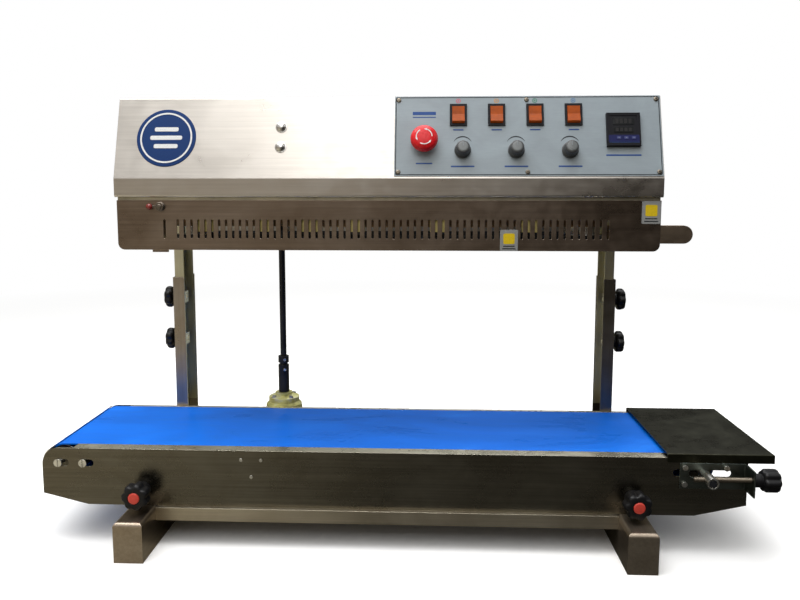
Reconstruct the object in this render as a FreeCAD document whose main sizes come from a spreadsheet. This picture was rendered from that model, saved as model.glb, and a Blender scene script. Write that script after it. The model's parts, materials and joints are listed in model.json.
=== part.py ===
import FreeCAD, Part
import math
import os
import Sketcher

# Continuous band sealer with a vertical sealing head over a belt conveyor.
# The machine datum is the floor point below the mid-plane of the two columns, in line with the outer face
# of the front conveyor plate.  datum_x and datum_y carry that datum into the part's own frame, whose origin
# is the centre of the footprint, on the floor.  X runs along the conveyor, Y to the rear and Z up.

doc = FreeCAD.newDocument("band_sealer")
sheet = doc.addObject("Spreadsheet::Sheet", "Dims")

DIMENSIONS = {
    "frame": [("datum_x", -23), ("datum_y", -126), ("fit_gap", 0.05), ("free_gap", 0.3)],
    "base": [
        ("foot_centre", 359), ("foot_width", 42), ("foot_height", 58), ("foot_front", -64),
        ("foot_length", 380), ("foot_wall", 2.5), ("foot_round", 6), ("beam_front", -7.4),
        ("beam_depth", 230), ("beam_height", 19.5), ("beam_wall", 3), ("lug_height", 40),
        ("lug_width", 34), ("lug_wall", 3),
    ],
    "columns": [
        ("column_face", 381), ("column_width", 19.6), ("column_front", 226), ("column_depth", 60),
        ("column_wall", 2.5), ("column_top", 373), ("inner_bottom", 142), ("low_screw", 260),
        ("high_screw", 335), ("screw_radius", 5), ("rise_travel", 25), ("drop_travel", 80),
        ("nut_size", 20), ("nut_depth", 8),
    ],
    "conveyor": [
        ("plate_left", -510), ("plate_right", 520), ("plate_top", 144), ("plate_bottom", 58),
        ("flat_left", -442), ("flat_right", 447), ("end_rise", 16.5), ("plate_wall", 2),
        ("plate_back", 225.5), ("nose_round", 25), ("rim_width", 20), ("rear_rim", 7.5),
        ("rim_left", -463), ("roller_inset", 1.5), ("belt_front", 20.5), ("belt_back", 217.5),
        ("belt_wall", 2), ("roller_radius", 20), ("roller_bore", 5), ("left_roller_x", -485.5),
        ("right_roller_x", 457), ("drive_x", -196), ("drive_shaft_radius", 7), ("drive_hub_radius", 18.5),
        ("drive_hub_depth", 10), ("drive_screw_circle", 17), ("small_screw_radius", 2.5),
        ("bed_left", -455), ("bed_right", 425), ("bed_wall", 1.5), ("tie_radius", 6), ("tie_height", 76),
        ("tie_pitch", 300), ("guide_tie_x", -448), ("screw_head_radius", 6), ("screw_head_depth", 3),
        ("take_up_left", 415), ("take_up_right", 497), ("take_up_play", 0.25), ("lock_x", 358.7),
        ("lock_height", 83.5), ("sheet_wall", 1.5),
    ],
    "table": [("table_left", 406), ("table_right", 556), ("table_top", 150.4), ("table_lip", 12.8),
              ("table_reach", 2), ("rail_left", 420)],
    "tensioner": [
        ("bracket_left", 424), ("bracket_right", 517), ("bracket_bottom", 99.5), ("bracket_top", 137),
        ("bracket_reach", 34), ("bracket_screw_inset", 6.5), ("bracket_screw_gap", 28),
        ("sleeve_radius", 8), ("sleeve_end", -41), ("sleeve_bore", 6), ("sleeve_bore_depth", 8),
        ("tension_y", -24), ("tension_radius", 4), ("tension_tip", 436), ("tension_neck", 9.5),
        ("tension_knob_radius", 16.5), ("tension_knob_left", 528), ("tension_knob_right", 552),
    ],
    "drive": [
        ("shaft_y", 262.28), ("shaft_radius", 5.5), ("shaft_low", 220), ("shaft_high", 572),
        ("coupler_radius", 9.5), ("coupler_low", 162.5), ("coupler_waist", 212), ("coupler_collar", 216),
        ("coupler_high", 228), ("input_radius", 6), ("pinion_back", 12), ("pinion_radius", 16),
        ("bevel_gap", 0.25), ("gearbox_radius", 31.5), ("gearbox_low", 95), ("gearbox_belt", 141),
        ("gearbox_shoulder", 27), ("gearbox_dome", 154), ("gearbox_ring", 15), ("gearbox_high", 162),
        ("gearbox_boss", 22), ("gearbox_wall", 5.5),
    ],
    "head": [
        ("head_left", -401.3), ("head_right", 398.7), ("fold_y", 39.9), ("fold_z", 541.3),
        ("slope_angle", 16.66), ("slope_length", 125.57), ("head_bottom", 514), ("head_back", 296),
        ("mount_wall", 6), ("mount_front", 46.5), ("mount_back", 295), ("mount_inset", 2.5),
        ("floor_rim", 12), ("fold_round", 3), ("louvre_count", 14), ("louvre_pitch", 24),
        ("louvre_left", -160), ("louvre_low", 600), ("louvre_high", 640), ("louvre_width", 4),
        ("cover_low", 436), ("gland_x", -330), ("gland_z", 545), ("gland_radius", 11),
        ("gland_bore", 4.5), ("gland_length", 18), ("gland_flange", 5), ("bracket_y", 50),
        ("zinc_low", 463), ("zinc_wall", 3), ("zinc_width", 26), ("zinc_first", -270),
        ("zinc_second", -181), ("zinc_third", -114), ("zinc_fourth", -44), ("zinc_fifth", 78),
        ("zinc_sixth", 212),
    ],
    "guard": [
        ("guard_left", -399.5), ("guard_right", 397), ("guard_low", 436), ("guard_high", 509.5),
        ("guard_y", 43.8), ("guard_round", 10), ("guard_rim", 11), ("slot_low", 453),
        ("slot_high", 481.4), ("slot_width", 3.6), ("slot_first", -328.5), ("slot_start", -308.4),
        ("slot_end", 322.4), ("slot_count", 62), ("pivot_y", 52), ("pivot_z", 443), ("pivot_radius", 3),
        ("arm_radius", 6), ("arm_wall", 3), ("arm_inset", 6), ("latch_x", -334), ("latch_z", 500),
        ("latch_radius", 3), ("latch_lug", 12), ("latch_play", 2), ("latch_reach", 15),
        ("latch_ball", 4.5), ("latch_front", 3), ("tab_left", -348), ("tab_right", -325),
        ("tab_drop", 3.5), ("ear_inset", 12),
    ],
    "panel": [
        ("panel_left", 12.5), ("panel_right", 397.5), ("panel_low", 3), ("panel_high", 125),
        ("panel_rim", 12), ("rocker_width", 25), ("rocker_count", 4), ("dial_count", 3),
        ("rocker_cap", 18), ("case_half_x", 9.9), ("case_half_s", 13.9), ("case_wall", 0.6),
        ("case_depth", 20), ("case_gap", 0.1), ("rocker_height", 33.4), ("rocker_first", 105.7),
        ("rocker_pitch", 55.6), ("rocker_s", 95.7), ("rocker_proud", 2.2), ("rocker_reach", 13),
        ("rocker_face", 5.2), ("rocker_dip", 1.6), ("rocker_pivot", 1.5), ("rocker_tilt", 7),
        ("dial_first", 111.7), ("dial_pitch", 77.2), ("dial_s", 41.5), ("dial_radius", 12),
        ("dial_height", 20), ("dial_skirt", 3.3), ("dial_taper", 1.2), ("dial_depth", 12),
        ("rib_half", 0.8), ("estop_x", 56), ("estop_s", 55), ("estop_radius", 20), ("estop_neck", 8),
        ("estop_lift", 12), ("estop_cap", 13), ("estop_round", 2), ("ring_wall", 6), ("ring_height", 3),
        ("contact_half", 15), ("contact_low", 38), ("contact_high", 2), ("meter_left", 318.3),
        ("meter_width", 47.9), ("meter_low", 46.2), ("meter_height", 49.9), ("meter_proud", 6),
        ("meter_depth", 58), ("meter_step", 2), ("meter_step_s", 3), ("meter_play", 0.3),
        ("meter_bezel", 4), ("meter_chin", 16), ("meter_recess", 0.8), ("key_first", 334.9),
        ("key_pitch", 10.5), ("key_s", 58), ("key_width", 5.5), ("key_height", 3.6), ("key_depth", 2.7),
        ("key_proud", 0.8), ("panel_screw_radius", 3.4), ("panel_screw_height", 1.8), ("bolt_x", -155),
        ("bolt_radius", 7.5), ("bolt_height", 6), ("bolt_low", 48), ("bolt_high", 78.7),
        ("washer_wall", 1.2), ("panel_screw_inset", 6),
    ],
    "sealing": [
        ("seal_y", 118), ("wheel_x", 300), ("wheel_radius", 26.6), ("wheel_low", 470),
        ("wheel_high", 486), ("grip_radius", 24.8), ("grip_low", 446), ("grip_high", 458),
        ("hub_radius", 12), ("band_wall", 0.8), ("band_low", 470.5), ("band_high", 485.5),
        ("spindle_radius", 6), ("spindle_low", 441), ("block_depth", 12), ("block_low", 467),
        ("block_high", 489), ("block_length", 120), ("heat_left", 60), ("cool_left", -100),
        ("post_radius", 5), ("fin_count", 7), ("fin_pitch", 15), ("fin_gap", 7.5), ("fin_top", 4),
        ("post_inset", 20), ("post_root", 1), ("gear_module", 2), ("gear_teeth", 28), ("motor_teeth", 50),
        ("gear_low", 518), ("gear_wall", 10), ("gear_play", 0.25), ("guide_left", 335),
        ("guide_right", 467), ("guide_low", 442.5), ("guide_high", 470.3), ("guide_wall", 2),
        ("guide_gap", 5.4), ("guide_arm_left", 345), ("guide_arm_right", 365), ("collar_wall", 4),
        ("gear_boss", 2), ("boss_height", 8), ("motor_box", 80), ("bridge_reach", 68),
        ("bridge_half", 62), ("bridge_wall", 4), ("bridge_corner", 54), ("bridge_side", 60),
        ("hub_room", 3), ("motor_low", 538), ("motor_neck", 572), ("motor_high", 645),
        ("motor_radius", 36),
    ],
    "knobs": [
        ("side_knob_radius", 19), ("side_knob_inner", 8), ("side_knob_outer", 22.6),
        ("lock_knob_radius", 20), ("lock_knob_inner", 16), ("lock_knob_outer", 38), ("cap_radius", 8.5),
        ("cap_depth", 2), ("lobe_count", 7),
    ],
}


class Size:
    """A length that knows both its spreadsheet expression and its value."""

    def __init__(self, text, number):
        self.text = text
        self.number = number

    def joined(self, sign, other, number):
        return Size(f"({self.text} {sign} {size_of(other).text})", number)

    def __add__(self, other):
        return self.joined("+", other, self.number + size_of(other).number)

    def __sub__(self, other):
        return self.joined("-", other, self.number - size_of(other).number)

    def __mul__(self, other):
        return self.joined("*", other, self.number * size_of(other).number)

    def __truediv__(self, other):
        return self.joined("/", other, self.number / size_of(other).number)

    def __radd__(self, other):
        return size_of(other) + self

    def __rsub__(self, other):
        return size_of(other) - self

    def __rmul__(self, other):
        return size_of(other) * self

    def __neg__(self):
        return size_of(0) - self


def size_of(value):
    """Any number or Size as a Size."""
    return value if isinstance(value, Size) else Size(f"{value:g}", float(value))


class Cells:
    """The spreadsheet's named cells, each read as a Size."""


def fill_sheet():
    """Write each driving dimension to its own row of the sheet and name its cell."""
    cells = Cells()
    row = 1
    for group, entries in DIMENSIONS.items():
        for alias, number in entries:
            sheet.set(f"A{row}", group)
            sheet.set(f"B{row}", alias)
            sheet.set(f"C{row}", str(number))
            sheet.setAlias(f"C{row}", alias)
            setattr(cells, alias, Size(f"Dims.{alias}", float(number)))
            row += 1
    doc.recompute()
    return cells


D = fill_sheet()
SIN_SLOPE = Size("sin(Dims.slope_angle)", math.sin(math.radians(D.slope_angle.number)))
COS_SLOPE = Size("cos(Dims.slope_angle)", math.cos(math.radians(D.slope_angle.number)))
TO_X = ((0, 1, 0), 90)
TO_MINUS_X = ((0, 1, 0), -90)
TO_Y = ((1, 0, 0), -90)
TO_MINUS_Y = ((1, 0, 0), 90)
PANEL_FLAT = ((1, 0, 0), -D.slope_angle.number)
PANEL_ROUND = ((1, 0, 0), 90 - D.slope_angle.number)
nodes = []


def bind(item, prop, size):
    item.setExpression(prop, size_of(size).text)


def place(item, spot, turn=None, from_datum=True):
    """Put an object at a spot given from the machine datum, turned about one axis."""
    if turn:
        item.Placement = FreeCAD.Placement(FreeCAD.Vector(),
                                           FreeCAD.Rotation(FreeCAD.Vector(*turn[0]), turn[1]))
    x, y, z = spot
    if from_datum:
        x, y = D.datum_x + x, D.datum_y + y
    for name, value in zip("xyz", (x, y, z)):
        bind(item, f"Placement.Base.{name}", value)
    return item


def node(label, item):
    """Name an object as one sub-part of the machine."""
    item.Label = label
    nodes.append(item)
    return item


def box(x, y, z, from_datum=True):
    """A Part::Box between the two ends given for each direction."""
    item = doc.addObject("Part::Box", "Block")
    for prop, (low, high) in zip(("Length", "Width", "Height"), (x, y, z)):
        bind(item, prop, high - low)
    return place(item, (x[0], y[0], z[0]), None, from_datum)


def rod(spot, radius, length, turn=None, from_datum=True):
    """A Part::Cylinder that starts at a spot and runs along +Z, or along the turned axis."""
    item = doc.addObject("Part::Cylinder", "Rod")
    bind(item, "Radius", radius)
    bind(item, "Height", length)
    return place(item, spot, turn, from_datum)


def fused(*parts):
    item = doc.addObject("Part::MultiFuse", "Joined")
    item.Shapes = list(parts)
    return item


def grouped(*parts):
    """Separate solids that make one sub-part."""
    item = doc.addObject("Part::Compound", "Group")
    item.Links = list(parts)
    return item


def cut(base, *tools):
    item = doc.addObject("Part::Cut", "Trimmed")
    item.Base = base
    item.Tool = tools[0] if len(tools) == 1 else grouped(*tools)
    return item


def slot_x(left, right, y, z, half, through):
    """A rounded slot tool, long in X and cut along Y."""
    return fused(
        box((left + half, right - half), (y, y + through), (z - half, z + half)),
        rod((left + half, y, z), half, through, TO_Y),
        rod((right - half, y, z), half, through, TO_Y))


def sketch_on(body, role):
    """A sketch on one of the body's own origin planes."""
    sketch = body.newObject("Sketcher::SketchObject", "Outline")
    plane = [feature for feature in body.Origin.OriginFeatures if feature.Role == role][0]
    sketch.AttachmentSupport = [(plane, "")]
    sketch.MapMode = "FlatFace"
    return sketch


def hold(sketch, kind, size, *where):
    """Add one driving constraint and bind it to its cell expression."""
    index = sketch.addConstraint(Sketcher.Constraint(kind, *where, size_of(size).number))
    bind(sketch, f"Constraints[{index}]", size)


def draw_polygon(sketch, points):
    """A closed outline through the points, each fixed by its two coordinates."""
    places = [FreeCAD.Vector(size_of(u).number, size_of(v).number, 0) for u, v in points]
    first = sketch.GeometryCount
    corners = len(points)
    for index in range(corners):
        sketch.addGeometry(Part.LineSegment(places[index], places[(index + 1) % corners]), False)
    for index in range(corners):
        after = first + (index + 1) % corners
        sketch.addConstraint(Sketcher.Constraint("Coincident", first + index, 2, after, 1))
    for index, (u, v) in enumerate(points):
        hold(sketch, "DistanceX", u, first + index, 1)
        hold(sketch, "DistanceY", v, first + index, 1)


def draw_circle(sketch, u, v, radius):
    centre = FreeCAD.Vector(size_of(u).number, size_of(v).number, 0)
    index = sketch.addGeometry(Part.Circle(centre, FreeCAD.Vector(0, 0, 1), size_of(radius).number), False)
    hold(sketch, "DistanceX", u, index, 3)
    hold(sketch, "DistanceY", v, index, 3)
    hold(sketch, "Radius", radius, index)


def draw_slot(sketch, u, low, high, radius):
    """A slot that stands up in the sketch, with round ends."""
    centre_u = size_of(u).number
    reach = size_of(radius).number
    ends = [size_of(low + radius), size_of(high - radius)]
    first = sketch.GeometryCount
    up = FreeCAD.Vector(0, 0, 1)
    for end, start in zip(ends, (math.pi, 0)):
        circle = Part.Circle(FreeCAD.Vector(centre_u, end.number, 0), up, reach)
        sketch.addGeometry(Part.ArcOfCircle(circle, start, start + math.pi), False)
    for side in (-reach, reach):
        sketch.addGeometry(Part.LineSegment(
            FreeCAD.Vector(centre_u + side, ends[0].number, 0),
            FreeCAD.Vector(centre_u + side, ends[1].number, 0)))
    low_arc, high_arc, left_line, right_line = range(first, first + 4)
    for line, line_end, arc, arc_end in ((left_line, 1, low_arc, 1), (right_line, 1, low_arc, 2),
                                         (right_line, 2, high_arc, 1), (left_line, 2, high_arc, 2)):
        sketch.addConstraint(Sketcher.Constraint("Tangent", line, line_end, arc, arc_end))
    for arc, end in ((low_arc, ends[0]), (high_arc, ends[1])):
        hold(sketch, "DistanceX", u, arc, 3)
        hold(sketch, "DistanceY", end, arc, 3)
    hold(sketch, "Radius", radius, low_arc)


def pad(body, sketch, length, reverse=False, both=False):
    feature = body.newObject("PartDesign::Pad", "Pad")
    feature.Profile = sketch
    feature.Reversed = reverse
    feature.Midplane = both
    bind(feature, "Length", length)
    return feature


def pocket(body, sketch):
    """Cut a sketch's outline right through the body."""
    feature = body.newObject("PartDesign::Pocket", "Pocket")
    feature.Profile = sketch
    feature.Type = "ThroughAll"
    feature.Midplane = True
    return feature


def padded(role, outline, length, spot, turn=None, holes=(), reverse=False, both=False):
    """A body made by padding one outline, with round holes, from its own plane."""
    body = doc.addObject("PartDesign::Body", "Body")
    sketch = sketch_on(body, role)
    draw_polygon(sketch, outline)
    for hole in holes:
        draw_circle(sketch, *hole)
    pad(body, sketch, length, reverse, both)
    return place(body, spot, turn)


def turned(profile, spot, turn=None, from_datum=True):
    """A body made by turning a half outline of (radius, height) points about its height axis."""
    body = doc.addObject("PartDesign::Body", "Body")
    sketch = sketch_on(body, "XZ_Plane")
    draw_polygon(sketch, profile)
    feature = body.newObject("PartDesign::Revolution", "Turn")
    feature.Profile = sketch
    feature.ReferenceAxis = (sketch, ["V_Axis"])
    feature.Angle = 360
    return place(body, spot, turn, from_datum)


def fillet_edges(body, radius, chosen):
    """Round every edge of the body's last feature that the chosen test accepts."""
    doc.recompute()
    tip = body.Tip
    names = [f"Edge{index}" for index, edge in enumerate(tip.Shape.Edges, 1) if chosen(edge)]
    feature = body.newObject("PartDesign::Fillet", "Fillet")
    feature.Base = (tip, names)
    bind(feature, "Radius", radius)
    return feature


def runs_along(edge, axis):
    """True where a straight edge is parallel to the axis 0, 1 or 2."""
    if edge.Curve.TypeId != "Part::GeomLine":
        return False
    return abs(abs(edge.Curve.Direction[axis]) - 1) < 1e-6


# ---------------------------------------------------------------- base frame

BELT_AXIS_Z = D.plate_top - D.belt_wall - D.free_gap - D.roller_radius


def foot(label, side):
    """A folded foot, open below, with a lug that the conveyor plate is clamped to."""
    half = D.foot_width / 2
    body = padded("XY_Plane", [(-half, 0), (half, 0), (half, D.foot_length), (-half, D.foot_length)],
                  D.foot_height, (side * D.foot_centre, D.foot_front, 0))
    high = D.foot_height.number

    def upper(edge):
        return min(vertex.Z for vertex in edge.Vertexes) > high - 1e-6

    fillet_edges(body, D.foot_round, upper)
    hollow = box((side * D.foot_centre - half + D.foot_wall, side * D.foot_centre + half - D.foot_wall),
                 (D.foot_front + D.foot_wall, D.foot_front + D.foot_length - D.foot_wall),
                 (size_of(-1), D.foot_height - D.foot_wall))
    lug_y = D.plate_wall + D.free_gap
    lug = box((side * D.lock_x - D.lug_width / 2, side * D.lock_x + D.lug_width / 2),
              (lug_y, lug_y + D.lug_wall), (D.foot_height - D.foot_wall, D.foot_height + D.lug_height))
    hole = rod((side * D.lock_x, lug_y - D.plate_wall, D.lock_height), D.screw_radius + D.fit_gap,
               D.lug_wall + 2 * D.plate_wall, TO_Y)
    return node(label, cut(fused(cut(body, hollow), lug), hole))


def cross_beam():
    """The folded tray between the feet, flush with their tops."""
    half = D.foot_centre - D.foot_width / 2
    low = D.foot_height - D.beam_height
    outer = box((-half, half), (D.beam_front, D.beam_front + D.beam_depth), (low, D.foot_height))
    inner = box((-half - 1, half + 1),
                (D.beam_front + D.beam_wall, D.beam_front + D.beam_depth - D.beam_wall),
                (low - 1, D.foot_height - D.beam_wall))
    return node("cross_beam", cut(outer, inner))


def channel(side, face, width, front, depth, low, high):
    """An upright channel with its web outside and its flanges towards the middle."""
    wall = D.column_wall
    outline = [(0, 0), (width, 0), (width, wall), (wall, wall), (wall, depth - wall), (width, depth - wall),
               (width, depth), (0, depth)]
    if side > 0:
        outline = [(-u, v) for u, v in outline]
    return padded("XY_Plane", outline, high - low, (side * face, front, low))


def outer_column(label, side):
    """The lower channel with its two clamp screw holes, and the square nuts that stand inside it."""
    body = channel(side, D.column_face, D.column_width, D.column_front, D.column_depth, D.foot_height,
                   D.column_top)
    middle = D.column_front + D.column_depth / 2
    away = TO_X if side > 0 else TO_MINUS_X
    bore = D.screw_radius + D.fit_gap
    inside = D.column_face - 2 * D.column_wall - 2 * D.free_gap - D.nut_depth
    tools, nuts = [], []
    for height in (D.low_screw, D.high_screw):
        tools.append(rod((side * (D.column_face - 2 * D.column_wall), middle, height), bore,
                         3 * D.column_wall, away))
        ends = (side * inside, side * (inside + D.nut_depth))
        nut = box(ends if side > 0 else ends[::-1], (middle - D.nut_size / 2, middle + D.nut_size / 2),
                  (height - D.nut_size / 2, height + D.nut_size / 2))
        nuts.append(cut(nut, rod((side * (inside - 1), middle, height), bore, D.nut_depth + 2, away)))
    return node(label, grouped(cut(body, grouped(*tools)), *nuts))


def inner_column(label, side):
    """The upper channel, slotted for the clamp screws over the head's whole travel."""
    inset = D.column_wall + D.free_gap
    body = channel(side, D.column_face - inset, D.column_width - inset - 1, D.column_front + inset,
                   D.column_depth - 2 * inset, D.inner_bottom, D.head_bottom - D.mount_wall)
    middle = D.column_front + D.column_depth / 2
    half = D.screw_radius + D.free_gap
    low = D.low_screw - D.rise_travel
    high = D.high_screw + D.drop_travel
    away = TO_X if side > 0 else TO_MINUS_X
    start = side * (D.column_face - inset - 2 * D.column_wall)
    ends = (start, side * D.column_face)
    slot = fused(box(ends if side > 0 else ends[::-1], (middle - half, middle + half), (low, high)),
                 rod((start, middle, low), half, inset + 2 * D.column_wall, away),
                 rod((start, middle, high), half, inset + 2 * D.column_wall, away))
    return node(label, cut(body, slot))


# ---------------------------------------------------------------- conveyor

def plate_outline():
    """The side plate in X and Z: flat below, rising at both ends."""
    low_end = D.plate_bottom + D.end_rise
    return [(D.flat_left, D.plate_bottom), (D.flat_right, D.plate_bottom), (D.plate_right, low_end),
            (D.plate_right, D.plate_top), (D.plate_left, D.plate_top), (D.plate_left, low_end)]


def side_plate(label, front):
    """A side plate with its rims folded inwards, its axle slots and its holes."""
    face = size_of(0) if front else D.plate_back - D.plate_wall
    clear = D.screw_radius + D.fit_gap
    holes = []
    if front:
        holes = [(side * D.lock_x, D.lock_height, clear) for side in (-1, 1)]
    else:
        holes = [(D.drive_x, BELT_AXIS_Z, D.drive_shaft_radius + D.fit_gap)]
    body = padded("XZ_Plane", plate_outline(), D.plate_wall, (0, face, 0), None, holes, True)
    left, top = D.plate_left.number, D.plate_top.number

    def nose(edge):
        spot = edge.Vertexes[0].Point
        return runs_along(edge, 1) and abs(spot.x - left) < 1e-6 and abs(spot.z - top) < 1e-6

    fillet_edges(body, D.nose_round, nose)
    if front:
        rim = (D.plate_wall, D.rim_width)
    else:
        rim = (D.plate_back - D.rear_rim, D.plate_back - D.plate_wall)
    low_reach = D.lock_x - D.lug_width
    rims = [box((D.rim_left, D.plate_right), rim, (D.plate_top - D.plate_wall, D.plate_top)),
            box((-low_reach, low_reach), rim, (D.plate_bottom, D.plate_bottom + D.plate_wall))]
    half = D.roller_bore + D.take_up_play
    take_up = slot_x(D.take_up_left, D.take_up_right, face - 1, BELT_AXIS_Z, half, D.plate_wall + 2)
    nose_slots = [slot_x(x - half, x + 3 * half, face - 1, BELT_AXIS_Z, half, D.plate_wall + 2)
                  for x in (D.left_roller_x, D.guide_tie_x)]
    return node(label, cut(fused(body, *rims), take_up, *nose_slots))


def conveyor_ties():
    """Cross bars, the fixed left axle, the nose cover, the drive bearing ring and the outside screws."""
    inside = D.plate_back - 2 * D.plate_wall
    parts = []
    for index in (-1, 0, 1):
        parts.append(rod((index * D.tie_pitch, D.plate_wall, D.tie_height), D.tie_radius, inside, TO_Y))
    for x in (D.left_roller_x, D.guide_tie_x):
        shank = rod((x, size_of(0), BELT_AXIS_Z), D.roller_bore, D.plate_back, TO_Y)
        heads = [rod((x, -D.screw_head_depth, BELT_AXIS_Z), D.screw_head_radius, D.screw_head_depth, TO_Y),
                 rod((x, D.plate_back, BELT_AXIS_Z), D.screw_head_radius, D.screw_head_depth, TO_Y)]
        groove = box((x - D.sheet_wall / 2, x + D.sheet_wall / 2),
                     (-D.screw_head_depth - 1, -D.screw_head_depth + D.sheet_wall),
                     (BELT_AXIS_Z - D.screw_head_radius, BELT_AXIS_Z + D.screw_head_radius))
        parts.append(cut(fused(shank, *heads), groove))
    ring = cut(rod((D.drive_x, D.plate_wall, BELT_AXIS_Z), D.drive_hub_radius, D.drive_hub_depth, TO_Y),
               rod((D.drive_x, D.plate_wall - 1, BELT_AXIS_Z), D.drive_shaft_radius + D.fit_gap,
                   D.drive_hub_depth + 2, TO_Y))
    parts.append(ring)
    for angle in (30, 150, 270):
        x = D.drive_x + D.drive_screw_circle * math.cos(math.radians(angle))
        z = BELT_AXIS_Z + D.drive_screw_circle * math.sin(math.radians(angle))
        parts.append(rod((x, -D.sheet_wall, z), D.small_screw_radius, D.sheet_wall, TO_Y))
    inset = D.bracket_screw_inset
    for x, z in ((D.bracket_left + inset, D.bracket_top - inset),
                 (D.bracket_left + inset, D.bracket_bottom + inset),
                 (D.bracket_right - D.bracket_screw_gap, D.bracket_top - inset)):
        parts.append(rod((x, -D.plate_wall - D.screw_head_depth, z), D.tension_radius, D.screw_head_depth,
                         TO_Y))
    reach = D.left_roller_x - D.plate_left
    shell = cut(rod((D.left_roller_x, D.plate_wall, BELT_AXIS_Z), reach, inside, TO_Y),
                rod((D.left_roller_x, D.plate_wall - 1, BELT_AXIS_Z), reach - D.sheet_wall, inside + 2,
                    TO_Y),
                box((D.left_roller_x - reach / 2, D.left_roller_x + reach + 1), (size_of(0), D.plate_back),
                    (BELT_AXIS_Z - reach - 1, BELT_AXIS_Z + reach + 1)),
                box((D.plate_left - 1, D.left_roller_x), (size_of(0), D.plate_back),
                    (BELT_AXIS_Z - reach - 1, BELT_AXIS_Z - reach / 2)))
    parts.append(shell)
    return node("conveyor_ties", grouped(*parts))


def loop(x_ends, spot, radius, wall, length, upright):
    """A belt round two equal wheels, whose axes run up Z, or along Y, from a spot in Y and Z."""
    y, z = spot

    def stadium(reach, margin):
        if upright:
            start = (y, z - margin)
            sides = ((y - reach, y + reach), (z - margin, z + length + margin))
        else:
            start = (y - margin, z)
            sides = ((y - margin, y + length + margin), (z - reach, z + reach))
        ends = [rod((x, *start), reach, length + 2 * margin, None if upright else TO_Y) for x in x_ends]
        return fused(*ends, box(x_ends, *sides))

    return cut(stadium(radius + wall, 0), stadium(radius, 1))


def conveyor_belt():
    return node("conveyor_belt", loop((D.left_roller_x, D.right_roller_x), (D.belt_front, BELT_AXIS_Z),
                                      D.roller_radius + D.free_gap, D.belt_wall,
                                      D.belt_back - D.belt_front, False))


def belt_bed():
    """The slider plate under the top run, open over the drive roller."""
    top = D.plate_top - D.plate_wall
    gap = D.roller_radius + 4
    plate = box((D.bed_left, D.bed_right), (D.plate_wall, D.plate_back - D.plate_wall),
                (top - D.bed_wall, top))
    window = box((D.drive_x - gap, D.drive_x + gap), (D.rim_width, D.plate_back - D.rear_rim),
                 (top - 2 * D.bed_wall, top + 1))
    return node("belt_bed", cut(plate, window))


def idler(label, x):
    """A plain roller that turns on a fixed axle."""
    gap = D.belt_front + D.roller_inset
    length = D.belt_back - D.roller_inset - gap
    bore = D.roller_bore + D.fit_gap
    return node(label, turned([(bore, 0), (D.roller_radius, 0), (D.roller_radius, length), (bore, length)],
                              (x, gap, BELT_AXIS_Z), TO_Y))


def drive_roller():
    """The driven roller, its shaft and the bevel wheel on the shaft's rear end."""
    low = D.belt_front + D.roller_inset
    high = D.belt_back - D.roller_inset
    start = D.plate_wall + D.free_gap
    ratio = D.pinion_back / D.pinion_radius
    wheel_y = D.shaft_y - D.pinion_radius
    profile = [
        (0, start), (D.drive_shaft_radius, start), (D.drive_shaft_radius, low), (D.roller_radius, low),
        (D.roller_radius, high), (D.drive_shaft_radius, high),
        (D.drive_shaft_radius, wheel_y), (D.pinion_back - D.bevel_gap, wheel_y),
        (D.pinion_radius * ratio / 2 - D.bevel_gap, wheel_y + D.pinion_radius / 2),
        (0, wheel_y + D.pinion_radius / 2)]
    return node("drive_roller", turned(profile, (D.drive_x, 0, BELT_AXIS_Z), TO_Y))


def table_plate():
    """The infeed table: a tray with rounded bends turned over the plates' right end, on two rails."""
    reach, wall = D.table_reach, D.sheet_wall
    width = D.plate_back + 2 * reach
    outer = padded("XY_Plane", [(0, 0), (D.table_right - D.table_left, 0),
                                (D.table_right - D.table_left, width), (0, width)],
                   D.table_lip, (D.table_left, -reach, D.table_top - D.table_lip))
    high = D.table_lip.number

    def bend(edge):
        return not runs_along(edge, 2) and min(vertex.Z for vertex in edge.Vertexes) > high - 1e-6 \
            and max(vertex.X for vertex in edge.Vertexes) > 1e-6

    fillet_edges(outer, wall, bend)
    inner = box((D.table_left - 1, D.table_right - wall), (wall - reach, D.plate_back + reach - wall),
                (D.table_top - D.table_lip - 1, D.table_top - wall))
    rails = [box((D.rail_left, D.plate_right), ends, (D.plate_top, D.table_top - wall))
             for ends in ((D.plate_wall, D.rim_width),
                          (D.plate_back - D.rear_rim, D.plate_back - D.plate_wall))]
    return node("table_plate", fused(cut(outer, inner), *rails))


def tension_bracket():
    """The angle that carries the tension screw in front of the plate's right end."""
    wall = D.plate_wall
    foot_plate = box((D.bracket_left, D.bracket_right), (-wall, size_of(0)),
                     (D.bracket_bottom, D.bracket_top))
    end_plate = box((D.bracket_right - wall, D.bracket_right), (-D.bracket_reach, -wall),
                    (D.bracket_bottom, D.bracket_top))
    window = slot_x(D.tension_tip, D.take_up_right, -wall - 1, BELT_AXIS_Z,
                    D.roller_bore + D.take_up_play, wall + 2)
    bore = rod((D.bracket_right - 2 * wall, D.tension_y, BELT_AXIS_Z), D.tension_radius + D.fit_gap,
               3 * wall, TO_X)
    return node("tension_bracket", cut(fused(foot_plate, end_plate), window, bore))


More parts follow.
